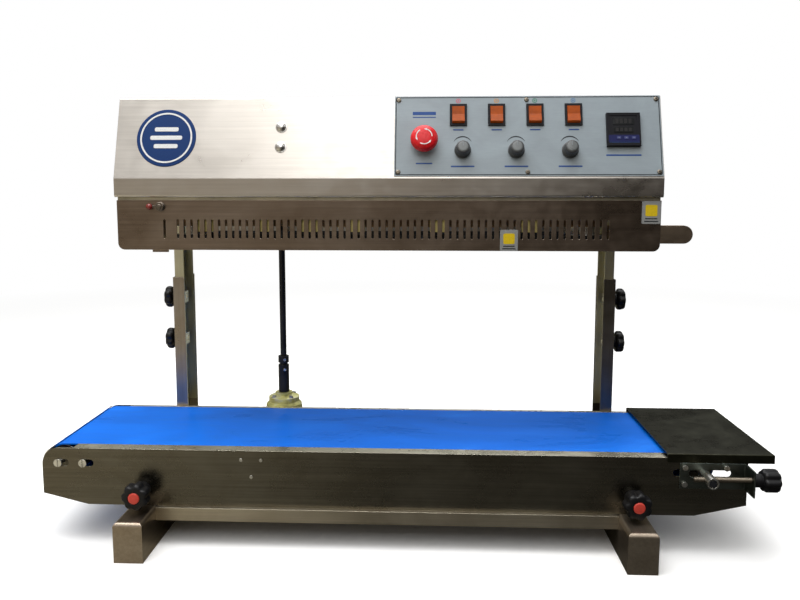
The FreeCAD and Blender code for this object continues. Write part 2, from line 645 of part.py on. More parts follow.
def take_up_axle():
    """The sliding axle, with the open sleeve in front that the tension screw pulls."""
    collar = -D.plate_wall - D.free_gap
    rear = D.plate_back + D.free_gap
    axle = turned([(0, D.sleeve_end + D.sleeve_bore_depth),
                   (D.sleeve_bore, D.sleeve_end + D.sleeve_bore_depth),
                   (D.sleeve_bore, D.sleeve_end), (D.sleeve_radius, D.sleeve_end),
                   (D.sleeve_radius, collar),
                   (D.roller_bore, collar), (D.roller_bore, rear), (D.sleeve_radius, rear),
                   (D.sleeve_radius, rear + D.sleeve_radius), (0, rear + D.sleeve_radius)],
                  (D.right_roller_x, 0, BELT_AXIS_Z), TO_Y)
    bore = rod((D.right_roller_x - 2 * D.sleeve_radius, D.tension_y, BELT_AXIS_Z),
               D.tension_radius + D.fit_gap,
               4 * D.sleeve_radius, TO_X)
    return node("take_up_axle", cut(axle, bore))


# ---------------------------------------------------------------- knobs

def star_knob(label, radius, inner, outer, stud, stud_length, neck, spot, turn, cap=False):
    """A star knob on a stud: the grip is a disc with round bites taken out all round its rim."""
    bite = radius / 3
    body = doc.addObject("PartDesign::Body", "Body")
    disc = sketch_on(body, "XY_Plane")
    draw_circle(disc, 0, 0, radius)
    pad(body, disc, outer - inner)
    biting = sketch_on(body, "XY_Plane")
    draw_circle(biting, radius + bite / 2, 0, bite)
    bitten = pocket(body, biting)
    ring = body.newObject("PartDesign::PolarPattern", "Lobes")
    ring.Originals = [bitten]
    ring.Axis = (disc, ["N_Axis"])
    ring.Angle = 360
    bind(ring, "Occurrences", D.lobe_count)
    body.Tip = ring
    bind(body, "Placement.Base.z", inner)
    shank = turned([(0, -stud_length), (stud, -stud_length), (stud, D.free_gap), (neck, D.free_gap),
                    (neck, inner), (0, inner)], (0, 0, 0), None, False)
    knob = fused(body, shank)
    if cap:
        recess = rod((0, 0, outer - D.cap_depth), D.cap_radius, D.cap_depth + 1, None, False)
        knob = cut(knob, recess)
    return node(label, place(knob, spot, turn))


def side_knob(label, side, height):
    """A clamp knob on a column's outer face."""
    middle = D.column_front + D.column_depth / 2
    stud_length = 2 * D.column_wall + 2 * D.free_gap + D.nut_depth
    return star_knob(label, D.side_knob_radius, D.side_knob_inner, D.side_knob_outer, D.screw_radius,
                     stud_length, D.nut_size / 2, (side * D.column_face, middle, height),
                     TO_X if side > 0 else TO_MINUS_X)


def lock_knob(label, side):
    """A knob that clamps the front conveyor plate to the foot's lug."""
    stud_length = D.plate_wall + D.free_gap + 2 * D.lug_wall
    return star_knob(label, D.lock_knob_radius, D.lock_knob_inner, D.lock_knob_outer, D.screw_radius,
                     stud_length, D.hub_radius, (side * D.lock_x, 0, D.lock_height), TO_MINUS_Y, True)


def tension_knob():
    """The knob and screw that pull the take-up axle along its slot."""
    base = D.bracket_right
    return star_knob("tension_knob", D.tension_knob_radius, D.tension_knob_left - base,
                     D.tension_knob_right - base,
                     D.tension_radius, base - D.tension_tip, D.tension_neck,
                     (base, D.tension_y, BELT_AXIS_Z), TO_X)


# ---------------------------------------------------------------- conveyor drive

def gearbox_housing():
    """The cast bevel box behind the rear plate, bored for its two shafts."""
    shell = turned([(0, D.gearbox_low), (D.gearbox_radius - 3, D.gearbox_low),
                    (D.gearbox_radius, D.gearbox_low + 3), (D.gearbox_radius, D.gearbox_belt),
                    (D.gearbox_shoulder, D.gearbox_belt + 5), (D.gearbox_shoulder, D.gearbox_dome),
                    (D.gearbox_ring, D.gearbox_dome + 3), (D.gearbox_ring, D.gearbox_high),
                    (0, D.gearbox_high)], (D.drive_x, D.shaft_y, 0))
    boss = rod((D.drive_x, D.plate_back, BELT_AXIS_Z), D.gearbox_boss, D.shaft_y - D.plate_back, TO_Y)
    hollow = turned([(0, D.gearbox_low + D.gearbox_wall),
                     (D.gearbox_radius - D.gearbox_wall, D.gearbox_low + D.gearbox_wall),
                     (D.gearbox_radius - D.gearbox_wall, D.gearbox_belt),
                     (D.input_radius + D.fit_gap, D.gearbox_belt),
                     (D.input_radius + D.fit_gap, D.gearbox_high + 1), (0, D.gearbox_high + 1)],
                    (D.drive_x, D.shaft_y, 0))
    bearing = rod((D.drive_x, D.plate_back - 1, BELT_AXIS_Z), D.drive_shaft_radius + D.fit_gap,
                  D.pinion_radius, TO_Y)
    recess = rod((D.drive_x, D.shaft_y - D.pinion_radius - 2, BELT_AXIS_Z), D.pinion_back + 1,
                 D.pinion_radius + 2, TO_Y)
    return node("gearbox_housing", cut(fused(shell, boss), hollow, bearing, recess))


def shaft_coupler():
    """The coupler with its collar, the gearbox input shaft and the bevel pinion."""
    pinion_top = BELT_AXIS_Z + D.pinion_back
    collar_bore = D.coupler_high - D.shaft_low
    profile = [
        (0, pinion_top - D.pinion_back / 2),
        (D.pinion_radius / 2 - D.bevel_gap, pinion_top - D.pinion_back / 2),
        (D.pinion_radius - D.bevel_gap, pinion_top), (D.input_radius, pinion_top),
        (D.input_radius, D.coupler_low),
        (D.coupler_radius, D.coupler_low), (D.coupler_radius, D.coupler_waist),
        (D.input_radius + 1, D.coupler_waist),
        (D.input_radius + 1, D.coupler_collar), (D.coupler_radius, D.coupler_collar),
        (D.coupler_radius, D.coupler_high), (D.shaft_radius, D.coupler_high),
        (D.shaft_radius, D.coupler_high - collar_bore), (0, D.coupler_high - collar_bore)]
    return node("shaft_coupler", turned(profile, (D.drive_x, D.shaft_y, 0)))


def transmission_shaft():
    """The long shaft that the head slides along."""
    return node("transmission_shaft", rod((D.drive_x, D.shaft_y, D.shaft_low), D.shaft_radius,
                                          D.shaft_high - D.shaft_low))


# ---------------------------------------------------------------- gears and sealing wheels

def mesh_phase(phase, teeth, direction, other_teeth):
    """The angle of a tooth on a wheel that meshes with a wheel lying in the given direction from it."""
    lead = (phase - direction) * teeth / other_teeth
    return direction + math.pi - lead + math.pi / other_teeth


def gear_shape(teeth, phase):
    """An involute spur gear about Z, from z = 0, with one tooth pointing at the phase angle."""
    module = D.gear_module.number
    pitch = module * teeth / 2
    pressure = math.radians(20)
    base = pitch * math.cos(pressure)
    half = (math.pi * module / 2 - D.gear_play.number) / (2 * pitch)
    flank = []
    steps = 5
    for step in range(steps + 1):
        radius = base + (pitch + module - base) * step / steps
        roll = math.acos(base / radius)
        flank.append((radius, half + math.tan(pressure) - pressure - math.tan(roll) + roll))
    root = pitch - 1.25 * module
    flank.insert(0, (root, flank[0][1]))
    points = []
    for tooth in range(teeth):
        centre = phase + 2 * math.pi * tooth / teeth
        sides = [(radius, centre - angle) for radius, angle in flank]
        sides += [(radius, centre + angle) for radius, angle in reversed(flank)]
        points += [FreeCAD.Vector(radius * math.cos(angle), radius * math.sin(angle), 0)
                   for radius, angle in sides]
    face = Part.Face(Part.makePolygon(points + points[:1]))
    return face.extrude(FreeCAD.Vector(0, 0, D.gear_wall.number))


def gear(teeth, phase, x, y):
    """A gear as a shape feature, placed at its shaft above the mounting plate."""
    item = doc.addObject("Part::Feature", "Gear")
    item.Shape = gear_shape(teeth, phase)
    return place(item, (x, y, D.gear_low))


GEAR_RADIUS = D.gear_module * D.gear_teeth / 2
FRONT_Y = D.seal_y - GEAR_RADIUS
REAR_Y = D.seal_y + GEAR_RADIUS
MOTOR_X = (D.drive_x - D.wheel_x) / 2
MOTOR_Y = (D.shaft_y + REAR_Y) / 2
TEETH = int(D.gear_teeth.number)
MOTOR_TEETH = int(D.motor_teeth.number)
TO_REAR_WHEEL = math.atan2((REAR_Y - MOTOR_Y).number, (-D.wheel_x - MOTOR_X).number)
REAR_PHASE = mesh_phase(TO_REAR_WHEEL, MOTOR_TEETH, TO_REAR_WHEEL, TEETH)
FRONT_PHASE = mesh_phase(REAR_PHASE, TEETH, -math.pi / 2, TEETH)
HUB_PHASE = mesh_phase(TO_REAR_WHEEL, MOTOR_TEETH, TO_REAR_WHEEL + math.pi, TEETH)


def sealing_wheel(label, x, y, phase=None):
    """A stepped wheel: the grip belt groove below, the seal band's rim above, and its spindle."""
    driven = phase is not None
    top = D.gear_low + D.gear_wall + D.gear_boss if driven else D.gear_low
    wall_top = D.head_bottom + D.free_gap
    profile = [
        (0, D.spindle_low), (D.hub_radius, D.spindle_low), (D.hub_radius, D.grip_low),
        (D.grip_radius, D.grip_low),
        (D.grip_radius, D.grip_high), (D.hub_radius, D.grip_high), (D.hub_radius, D.wheel_low),
        (D.wheel_radius, D.wheel_low), (D.wheel_radius, D.wheel_high), (D.hub_radius, D.wheel_high),
        (D.hub_radius, D.wheel_high + D.boss_height), (D.spindle_radius, D.wheel_high + D.boss_height),
        (D.spindle_radius, wall_top), (D.spindle_radius + D.collar_wall, wall_top),
        (D.spindle_radius + D.collar_wall, top), (0, top)]
    wheel = turned(profile, (x, y, 0))
    return node(label, fused(wheel, gear(TEETH, phase, x, y)) if driven else wheel)


def seal_bands():
    """The two heat-proof bands that press the bag's mouth between their inner runs."""
    bands = [loop((-D.wheel_x, D.wheel_x), (y, D.band_low), D.wheel_radius + D.free_gap, D.band_wall,
                  D.band_high - D.band_low, True) for y in (FRONT_Y, REAR_Y)]
    return node("seal_bands", grouped(*bands))


def seal_blocks():
    """The heated pair and the finned cooling pair that back the bands, each on two posts."""
    parts = []
    near = D.wheel_radius
    under = D.head_bottom - D.mount_wall
    foot_z = D.block_high - D.post_root
    for left, finned in ((D.heat_left, False), (D.cool_left, True)):
        for side, inner in ((-1, FRONT_Y + near), (1, REAR_Y - near)):
            outer = inner + side * D.block_depth
            y = (outer, inner) if side < 0 else (inner, outer)
            block = box((left, left + D.block_length), y, (D.block_low, D.block_high))
            posts = [rod((x, (inner + outer) / 2, foot_z), D.post_radius, under - foot_z)
                     for x in (left + D.post_inset, left + D.block_length - D.post_inset)]
            item = fused(block, *posts)
            if finned:
                middle = (inner + outer) / 2
                back = (outer, middle) if side < 0 else (middle, outer)
                first = left + D.fin_pitch - D.fin_gap / 2
                grooves = [box((first + index * D.fin_pitch, first + index * D.fin_pitch + D.fin_gap), back,
                               (D.block_low - 1, D.block_high - D.fin_top))
                           for index in range(int(D.fin_count.number))]
                item = cut(item, *grooves)
            parts.append(item)
    return node("seal_blocks", grouped(*parts))


def zinc_brackets():
    """The plated plates, seen through the guard, that hang from the mounting plate's front edge."""
    under = D.head_bottom - D.mount_wall
    half = D.zinc_width / 2
    plates = [box((x - half, x + half), (D.bracket_y, D.bracket_y + D.zinc_wall), (D.zinc_low, under))
              for x in (D.zinc_first, D.zinc_second, D.zinc_third, D.zinc_fourth, D.zinc_fifth,
                        D.zinc_sixth)]
    return node("zinc_brackets", grouped(*plates))


def bag_guides():
    """Two strips with round ends that lead the bag's mouth in between the bands."""
    parts = []
    radius = (D.guide_high - D.guide_low) / 2
    middle = (D.guide_high + D.guide_low) / 2
    under = D.head_bottom - D.mount_wall
    for side in (-1, 1):
        near = D.seal_y + side * D.guide_gap / 2
        y = (near - D.guide_wall, near) if side < 0 else (near, near + D.guide_wall)
        strip = fused(box((D.guide_left, D.guide_right - radius), y, (D.guide_low, D.guide_high)),
                      rod((D.guide_right - radius, y[0], middle), radius, D.guide_wall, TO_Y),
                      box((D.guide_arm_left, D.guide_arm_right), y, (middle, under)))
        parts.append(strip)
    return node("bag_guides", grouped(*parts))


def shaft_hub():
    """The sliding hub and its gear: it stays with the head and turns the long shaft."""
    bore = D.shaft_radius + D.fit_gap
    low = D.head_bottom + D.free_gap
    sleeve = turned([(0, low), (D.hub_radius, low), (D.hub_radius, D.motor_low + D.spindle_radius),
                     (0, D.motor_low + D.spindle_radius)], (D.drive_x, D.shaft_y, 0))
    blank = fused(sleeve, gear(TEETH, HUB_PHASE, D.drive_x, D.shaft_y))
    return node("shaft_hub", cut(blank, rod((D.drive_x, D.shaft_y, low - 1), bore, D.gear_wall * 4)))


def motor_gear():
    """The motor's output shaft and gear."""
    low = D.head_bottom + D.free_gap
    shaft = rod((MOTOR_X, MOTOR_Y, low), D.spindle_radius, D.motor_neck - D.gear_wall - low)
    return node("motor_gear", fused(shaft, gear(MOTOR_TEETH, TO_REAR_WHEEL, MOTOR_X, MOTOR_Y)))


def drive_motor():
    """The geared motor on its bridge plate, which stands on four posts clear of the gears."""
    half = D.motor_box / 2
    bridge_low = D.motor_low - D.bridge_wall
    bridge = box((MOTOR_X - D.bridge_reach, MOTOR_X + D.bridge_reach),
                 (MOTOR_Y - D.bridge_half, MOTOR_Y + D.bridge_half), (bridge_low, D.motor_low))
    head = box((MOTOR_X - half, MOTOR_X + half), (MOTOR_Y - half, MOTOR_Y + half),
               (D.motor_low, D.motor_neck))
    can = rod((MOTOR_X, MOTOR_Y, D.motor_neck), D.motor_radius, D.motor_high - D.motor_neck)
    spots = ((-D.bridge_corner, D.bridge_corner), (D.bridge_corner, -D.bridge_corner), (-D.bridge_side, 0),
             (D.bridge_side, 0))
    posts = [rod((MOTOR_X + u, MOTOR_Y + v, D.head_bottom), D.post_radius, bridge_low - D.head_bottom)
             for u, v in spots]
    bore = rod((MOTOR_X, MOTOR_Y, bridge_low - 1), D.spindle_radius + D.fit_gap, D.motor_neck - bridge_low)
    hub_room = rod((D.drive_x, D.shaft_y, bridge_low - 1), D.hub_radius + D.hub_room, D.motor_box)
    return node("drive_motor", cut(fused(bridge, head, can, *posts), bore, hub_room))


# ---------------------------------------------------------------- head

def mounting_plate():
    """The plate that carries everything in the head, with the guard's two arms and the latch lug."""
    low = D.head_bottom - D.mount_wall
    plate = box((D.head_left + D.mount_inset, D.head_right - D.mount_inset), (D.mount_front, D.mount_back),
                (low, D.head_bottom))
    extras = []
    for side, edge in ((1, D.guard_left + D.arm_inset), (-1, D.guard_right - D.arm_inset - D.arm_wall)):
        arm = box((edge, edge + D.arm_wall), (D.pivot_y - D.arm_radius, D.pivot_y + D.arm_radius),
                  (D.pivot_z, low))
        eye = rod((edge, D.pivot_y, D.pivot_z), D.arm_radius, D.arm_wall, TO_X)
        start = edge if side > 0 else edge - 3 * D.arm_wall
        pin = rod((start, D.pivot_y, D.pivot_z), D.pivot_radius, 4 * D.arm_wall, TO_X)
        extras += [arm, eye, pin]
    back = D.mount_front + D.plate_wall
    lug = box((D.latch_x - D.latch_lug, D.latch_x + D.latch_lug), (D.mount_front, back),
              (D.latch_z - D.latch_lug, low))
    holes = [rod((x, y, low - 1), D.spindle_radius + D.fit_gap, D.mount_wall + 2)
             for x in (-D.wheel_x, D.wheel_x) for y in (FRONT_Y, REAR_Y)]
    holes.append(rod((D.drive_x, D.shaft_y, low - 1), D.shaft_radius + D.plate_wall, D.mount_wall + 2))
    holes.append(rod((D.latch_x, D.mount_front - 1, D.latch_z), D.latch_radius + D.latch_play,
                     D.mount_wall, TO_Y))
    return node("mounting_plate", cut(fused(plate, lug, *extras), *holes))


def head_outline(wall, back):
    """The housing's side view in Y and Z, moved inwards by a wall."""
    top_y = D.fold_y + D.slope_length * SIN_SLOPE
    top_z = D.fold_z + D.slope_length * COS_SLOPE
    slope = wall / COS_SLOPE
    lean = SIN_SLOPE / COS_SLOPE
    front = D.fold_y + wall
    fold = D.fold_z + (wall - slope) / lean
    return [(front, D.head_bottom + wall), (front, fold), (top_y + slope - wall * lean, top_z - wall),
            (back, top_z - wall), (back, D.head_bottom + wall)]


def housing():
    """The folded housing: front, slope, top, ends and a floor rim, open to the rear cover."""
    wall = D.sheet_wall
    outer = padded("YZ_Plane", head_outline(size_of(0), D.head_back), D.head_right - D.head_left,
                   (D.head_left, 0, 0))
    inner = padded("YZ_Plane", head_outline(wall, D.head_back + 1), D.head_right - D.head_left - 2 * wall,
                   (D.head_left + wall, 0, 0))
    middle = (D.head_back.number + D.fold_y.number) / 2

    def bend(edge):
        return runs_along(edge, 0) and edge.Vertexes[0].Point.y < middle

    fillet_edges(outer, D.fold_round, bend)
    fillet_edges(inner, D.fold_round - wall, bend)
    floor = box((D.head_left + D.floor_rim, D.head_right - D.floor_rim),
                (D.fold_y + D.floor_rim, D.head_back + 1), (D.head_bottom - 1, D.head_bottom + 2 * wall))
    rim = D.panel_rim
    opening = grouped(slab((D.panel_left + rim, D.panel_right - rim),
                           (D.panel_low + rim, D.panel_high - rim), (-2 * wall, 2 * wall)))
    window = place(opening, (0, D.fold_y, D.fold_z), PANEL_FLAT)
    return node("housing", cut(outer, inner, floor, window))


def rear_cover():
    """The rear cover: louvres, the cord gland's hole, and a skirt that hides the bands from behind."""
    top = D.fold_z + D.slope_length * COS_SLOPE
    body = doc.addObject("PartDesign::Body", "Body")
    sketch = sketch_on(body, "XZ_Plane")
    draw_polygon(sketch, [(D.head_left, D.cover_low), (D.head_right, D.cover_low), (D.head_right, top),
                          (D.head_left, top)])
    draw_circle(sketch, D.gland_x, D.gland_z, D.gland_bore + D.plate_wall)
    pad(body, sketch, D.sheet_wall, True)
    vent = sketch_on(body, "XZ_Plane")
    draw_slot(vent, D.louvre_left, D.louvre_low, D.louvre_high, D.louvre_width / 2)
    pattern_x(body, pocket(body, vent), vent, D.louvre_pitch * (D.louvre_count - 1), D.louvre_count)
    return node("rear_cover", place(body, (0, D.head_back, 0)))


def pattern_x(body, feature, sketch, length, count):
    """Repeat a feature along X."""
    row = body.newObject("PartDesign::LinearPattern", "Row")
    row.Originals = [feature]
    row.Direction = (sketch, ["H_Axis"])
    bind(row, "Length", length)
    bind(row, "Occurrences", count)
    body.Tip = row
    return row


def power_gland():
    """The strain relief that the mains cord would enter."""
    ledge = D.sheet_wall
    return node("power_gland", turned(
        [(D.gland_bore, 0), (D.gland_radius, 0), (D.gland_radius, D.gland_flange),
         (D.gland_radius - ledge, D.gland_flange), (D.gland_radius - 2 * ledge, D.gland_length),
         (D.gland_bore, D.gland_length)],
        (D.gland_x, D.head_back + ledge, D.gland_z), TO_Y))


def guard():
    """The slotted cover below the housing, with its rim, end ears and stop tab."""
    wall = D.sheet_wall
    body = doc.addObject("PartDesign::Body", "Body")
    sketch = sketch_on(body, "XZ_Plane")
    draw_polygon(sketch,
                 [(D.guard_left, D.guard_low), (D.guard_right, D.guard_low), (D.guard_right, D.guard_high),
                          (D.guard_left, D.guard_high)])
    draw_circle(sketch, D.latch_x, D.latch_z, D.latch_radius + D.fit_gap)
    pad(body, sketch, wall, True)
    low = D.guard_low.number

    def bottom_corner(edge):
        return runs_along(edge, 1) and abs(edge.Vertexes[0].Point.z - low) < 1e-6

    fillet_edges(body, D.guard_round, bottom_corner)
    single = sketch_on(body, "XZ_Plane")
    draw_slot(single, D.slot_first, D.slot_low, D.slot_high, D.slot_width / 2)
    pocket(body, single)
    lead = sketch_on(body, "XZ_Plane")
    draw_slot(lead, D.slot_start, D.slot_low, D.slot_high, D.slot_width / 2)
    pattern_x(body, pocket(body, lead), lead, D.slot_end - D.slot_start, D.slot_count)
    place(body, (0, D.guard_y, 0))
    rim_y = (D.guard_y + wall / 2, D.guard_y + D.guard_rim)
    inset = D.ear_inset
    rim = box((D.guard_left + inset, D.guard_right - inset), rim_y, (D.guard_low, D.guard_low + wall))
    ears = [box((x, x + wall), (rim_y[0], D.pivot_y + D.arm_radius),
                (D.guard_low + wall / 2, D.pivot_z + D.arm_radius))
            for x in (D.guard_left + inset, D.guard_right - inset - wall)]
    tab = box((D.tab_left, D.tab_right), (rim_y[0], D.guard_y + D.arm_radius),
              (D.guard_low - D.tab_drop, D.guard_low + wall / 2))
    pins = rod((D.guard_left, D.pivot_y, D.pivot_z), D.pivot_radius + D.fit_gap,
               D.guard_right - D.guard_left, TO_X)
    return node("guard", cut(fused(body, rim, tab, *ears), pins))


def guard_latch():
    """The quarter-turn catch: a stud through the guard, a bar in front and a ball on its end."""
    bar_y = D.guard_y - D.latch_front - D.sheet_wall
    stud = rod((D.latch_x, D.guard_y - D.latch_front, D.latch_z), D.latch_radius,
               D.latch_lug - D.plate_wall, TO_Y)
    collar = rod((D.latch_x, D.guard_y - D.arm_radius, D.latch_z), D.arm_radius,
                 D.arm_radius - D.free_gap, TO_Y)
    bar = box((D.latch_x - D.latch_reach, D.latch_x + D.latch_radius), (bar_y, bar_y + D.latch_front),
              (D.latch_z - D.latch_radius / 2, D.latch_z + D.latch_radius / 2))
    ball = doc.addObject("Part::Sphere", "Ball")
    bind(ball, "Radius", D.latch_ball)
    place(ball, (D.latch_x - D.latch_reach, bar_y, D.latch_z))
    return node("guard_latch", fused(stud, collar, bar, ball))


# ---------------------------------------------------------------- control panel

def panel_spot(x, along, proud=0):
    """A place on the sloping face: along the slope from the fold, and proud of the sheet."""
    return (x, D.fold_y + along * SIN_SLOPE - proud * COS_SLOPE,
            D.fold_z + along * COS_SLOPE + proud * SIN_SLOPE)


def slab(x, along, depth):
    """A block in the panel's own frame: depth is counted outwards from the housing's face."""
    return box(x, (-depth[1], -depth[0]), along, False)


def on_panel(label, item):
    return node(label, place(item, (0, D.fold_y, D.fold_z), PANEL_FLAT))


def rocker_x(index):
    return D.rocker_first + index * D.rocker_pitch


def dial_x(index):
    return D.dial_first + index * D.dial_pitch


def key_x(index):
    return D.key_first + index * D.key_pitch


def about(centre, half):
    """The two ends of a length about its middle."""
    return (centre - half, centre + half)


def count(size):
    return range(int(size.number))


def control_panel():
    """The printed plate on the slope, cut for everything that stands in it."""
    wall = D.sheet_wall
    plate = slab((D.panel_left, D.panel_right), (D.panel_low, D.panel_high), (size_of(0), wall))
    through = (-wall, 2 * wall)
    tools = [slab(about(rocker_x(index), D.case_half_x + D.case_gap),
                  about(D.rocker_s, D.case_half_s + D.case_gap),
                  through) for index in count(D.rocker_count)]
    bores = [(dial_x(index), D.dial_s, D.latch_radius + D.fit_gap) for index in count(D.dial_count)]
    bores.append((D.estop_x, D.estop_s, D.estop_neck + D.fit_gap))
    for x, along, radius in bores:
        tools.append(rod((x, wall, along), radius, 3 * wall, TO_MINUS_Y, False))
    tools.append(slab((D.meter_left + D.meter_step - D.meter_play,
                       D.meter_left + D.meter_width - D.meter_step + D.meter_play),
                      (D.meter_low + D.meter_step_s - D.meter_play,
                       D.meter_low + D.meter_height - D.meter_step_s + D.meter_play), through))
    return on_panel("control_panel", cut(plate, *tools))


def switch_frames():
    """The four switch frames, the stop button's ring and the contact block behind it."""
    wall = D.sheet_wall
    parts = []
    for index in count(D.rocker_count):
        x = rocker_x(index)
        rim = slab(about(x, D.rocker_width / 2), about(D.rocker_s, D.rocker_height / 2),
                   (wall, wall + D.rocker_proud))
        case = slab(about(x, D.case_half_x), about(D.rocker_s, D.case_half_s), (-D.case_depth, wall))
        window = slab(about(x, D.case_half_x - D.case_wall), about(D.rocker_s, D.case_half_s - D.case_wall),
                      (wall - D.case_depth, wall + 2 * D.rocker_proud))
        parts.append(cut(fused(rim, case), window))
    bore = D.estop_neck + D.fit_gap
    ring = rod((D.estop_x, -wall, D.estop_s), D.estop_neck + D.ring_wall, D.ring_height, TO_MINUS_Y, False)
    parts.append(cut(ring, rod((D.estop_x, wall, D.estop_s), bore, D.estop_lift, TO_MINUS_Y, False)))
    contact = slab(about(D.estop_x, D.contact_half), about(D.estop_s, D.contact_half),
                   (-D.contact_low, -D.contact_high))
    parts.append(cut(contact,
                     rod((D.estop_x, D.case_depth, D.estop_s), bore, D.contact_low, TO_MINUS_Y, False)))
    return on_panel("switch_frames", grouped(*parts))


def rocker(label, index):
    """A rocking cap: a barrel about its pivot, its face two shallow slopes, tilted to its on position."""
    reach = D.rocker_reach.number
    face = D.rocker_face.number
    tilt = math.radians(D.rocker_tilt.number)
    steps = 6
    corner = math.acos(face / reach)
    arc = [corner + (math.pi / 2 - corner) * step / steps for step in range(steps + 1)]
    outline = [(reach * math.cos(angle), reach * math.sin(angle)) for angle in arc]
    outline += [(out, -up) for out, up in reversed(outline)]
    outline.append((face - D.rocker_dip.number, 0))
    points = []
    for out, up in outline:
        tilted_out = out * math.cos(tilt) - up * math.sin(tilt)
        tilted_up = out * math.sin(tilt) + up * math.cos(tilt)
        points.append(FreeCAD.Vector(0, -(tilted_out + D.rocker_pivot.number), tilted_up))
    item = doc.addObject("Part::Feature", "Rocker")
    width = FreeCAD.Vector(D.rocker_cap.number, 0, 0)
    item.Shape = Part.Face(Part.makePolygon(points + points[:1])).extrude(width)
    return node(label, place(item, panel_spot(rocker_x(index) - D.rocker_cap / 2, D.rocker_s), PANEL_FLAT))


def dial(label, index):
    """A control knob: skirt, grip and pointer rib on a spindle through the panel."""
    start = D.sheet_wall + D.free_gap
    grip = D.dial_radius - D.dial_taper
    top = grip - 2 * D.dial_taper
    body = turned([(0, -D.dial_depth), (D.latch_radius, -D.dial_depth), (D.latch_radius, start),
                   (D.dial_radius, start), (D.dial_radius, start + D.dial_skirt),
                   (grip, start + D.dial_skirt),
                   (grip - D.dial_taper, D.dial_height - D.dial_taper), (top, D.dial_height),
                   (0, D.dial_height)], (0, 0, 0), None, False)
    rib = box((-D.rib_half, D.rib_half), (D.rib_half, top),
              (D.dial_height - D.dial_taper, D.dial_height + D.rib_half),
              False)
    return node(label, place(fused(body, rib), panel_spot(dial_x(index), D.dial_s), PANEL_ROUND))


def estop_button():
    """The red mushroom and its plunger."""
    lift, rounded = D.estop_lift, D.estop_round
    high = lift + D.estop_cap
    return node("estop_button", turned(
        [(0, -D.dial_depth), (D.estop_neck, -D.dial_depth), (D.estop_neck, lift),
         (D.estop_radius - rounded, lift),
         (D.estop_radius, lift + rounded), (D.estop_radius, high - 3 * rounded),
         (D.estop_radius - rounded, high - rounded), (D.estop_radius / 2, high), (0, high)],
        panel_spot(D.estop_x, D.estop_s), PANEL_ROUND))


def temperature_controller():
    """The controller's bezel and case, with a well for each key and a shallow display recess."""
    wall, step, bezel_wall = D.sheet_wall, D.meter_step, D.meter_bezel
    right = D.meter_left + D.meter_width
    top = D.meter_low + D.meter_height
    face = wall + D.meter_proud
    bezel = slab((D.meter_left, right), (D.meter_low, top), (wall, face))
    case = slab((D.meter_left + step, right - step), (D.meter_low + D.meter_step_s, top - D.meter_step_s),
                (-D.meter_depth, wall))
    display = slab((D.meter_left + bezel_wall, right - bezel_wall),
                   (D.meter_low + D.meter_chin, top - bezel_wall),
                   (face - D.meter_recess, face + 1))
    floor = face - D.key_depth - D.free_gap
    wells = [slab(about(key_x(index), D.key_width / 2 + D.free_gap),
                  about(D.key_s, D.key_height / 2 + D.free_gap),
                  (floor, face + 1)) for index in range(3)]
    return on_panel("temperature_controller", cut(fused(bezel, case), display, *wells))


def key(label, index):
    face = D.sheet_wall + D.meter_proud + D.key_proud
    return on_panel(label,
                    grouped(slab(about(key_x(index), D.key_width / 2), about(D.key_s, D.key_height / 2),
                                        (face - D.key_depth, face))))


def head_screws():
    """The panel's six pan-head screws and the two dome bolts beside it."""
    wall, inset = D.sheet_wall, D.panel_screw_inset
    middle = (D.panel_left + D.panel_right) / 2
    parts = []
    for x in (D.panel_left + inset, middle, D.panel_right - inset):
        for along in (D.panel_low + inset, D.panel_high - inset):
            parts.append(rod((x, -wall, along), D.panel_screw_radius, D.panel_screw_height, TO_MINUS_Y,
                             False))
    for along in (D.bolt_low, D.bolt_high):
        washer = rod((D.bolt_x, 0, along), D.bolt_radius + 1, D.washer_wall, TO_MINUS_Y, False)
        dome = rod((D.bolt_x, 0, along), D.bolt_radius, D.bolt_height, TO_MINUS_Y, False)
        parts.append(fused(washer, dome))
    return on_panel("head_screws", grouped(*parts))


# ---------------------------------------------------------------- the whole machine

def build():
    foot("left_foot", -1)
    foot("right_foot", 1)
    cross_beam()
    for name, side in (("left", -1), ("right", 1)):
        outer_column(f"{name}_outer_column", side)
        inner_column(f"{name}_inner_column", side)
        side_knob(f"{name}_upper_knob", side, D.high_screw)
        side_knob(f"{name}_lower_knob", side, D.low_screw)
        lock_knob(f"{name}_conveyor_knob", side)
    side_plate("front_side_plate", True)
    side_plate("rear_side_plate", False)
    conveyor_ties()
    conveyor_belt()
    belt_bed()
    idler("left_end_roller", D.left_roller_x)
    idler("take_up_roller", D.right_roller_x)
    drive_roller()
    take_up_axle()
    tension_bracket()
    tension_knob()
    table_plate()
    gearbox_housing()
    shaft_coupler()
    transmission_shaft()
    mounting_plate()
    housing()
    rear_cover()
    power_gland()
    guard()
    guard_latch()
    bag_guides()
    sealing_wheel("front_drive_wheel", -D.wheel_x, FRONT_Y, FRONT_PHASE)
    sealing_wheel("rear_drive_wheel", -D.wheel_x, REAR_Y, REAR_PHASE)
    sealing_wheel("front_driven_wheel", D.wheel_x, FRONT_Y)
    sealing_wheel("rear_driven_wheel", D.wheel_x, REAR_Y)
    seal_bands()
    seal_blocks()
    zinc_brackets()
    shaft_hub()
    motor_gear()
    drive_motor()
    control_panel()
    switch_frames()
    for index in count(D.rocker_count):
        rocker(f"rocker_{index + 1}", index)
    for index, name in enumerate(("top_heat_dial", "set_heat_dial", "speed_dial")):
        dial(name, index)
    estop_button()
    temperature_controller()
    for index, name in enumerate(("set_key", "down_key", "up_key")):
        key(name, index)
    head_screws()


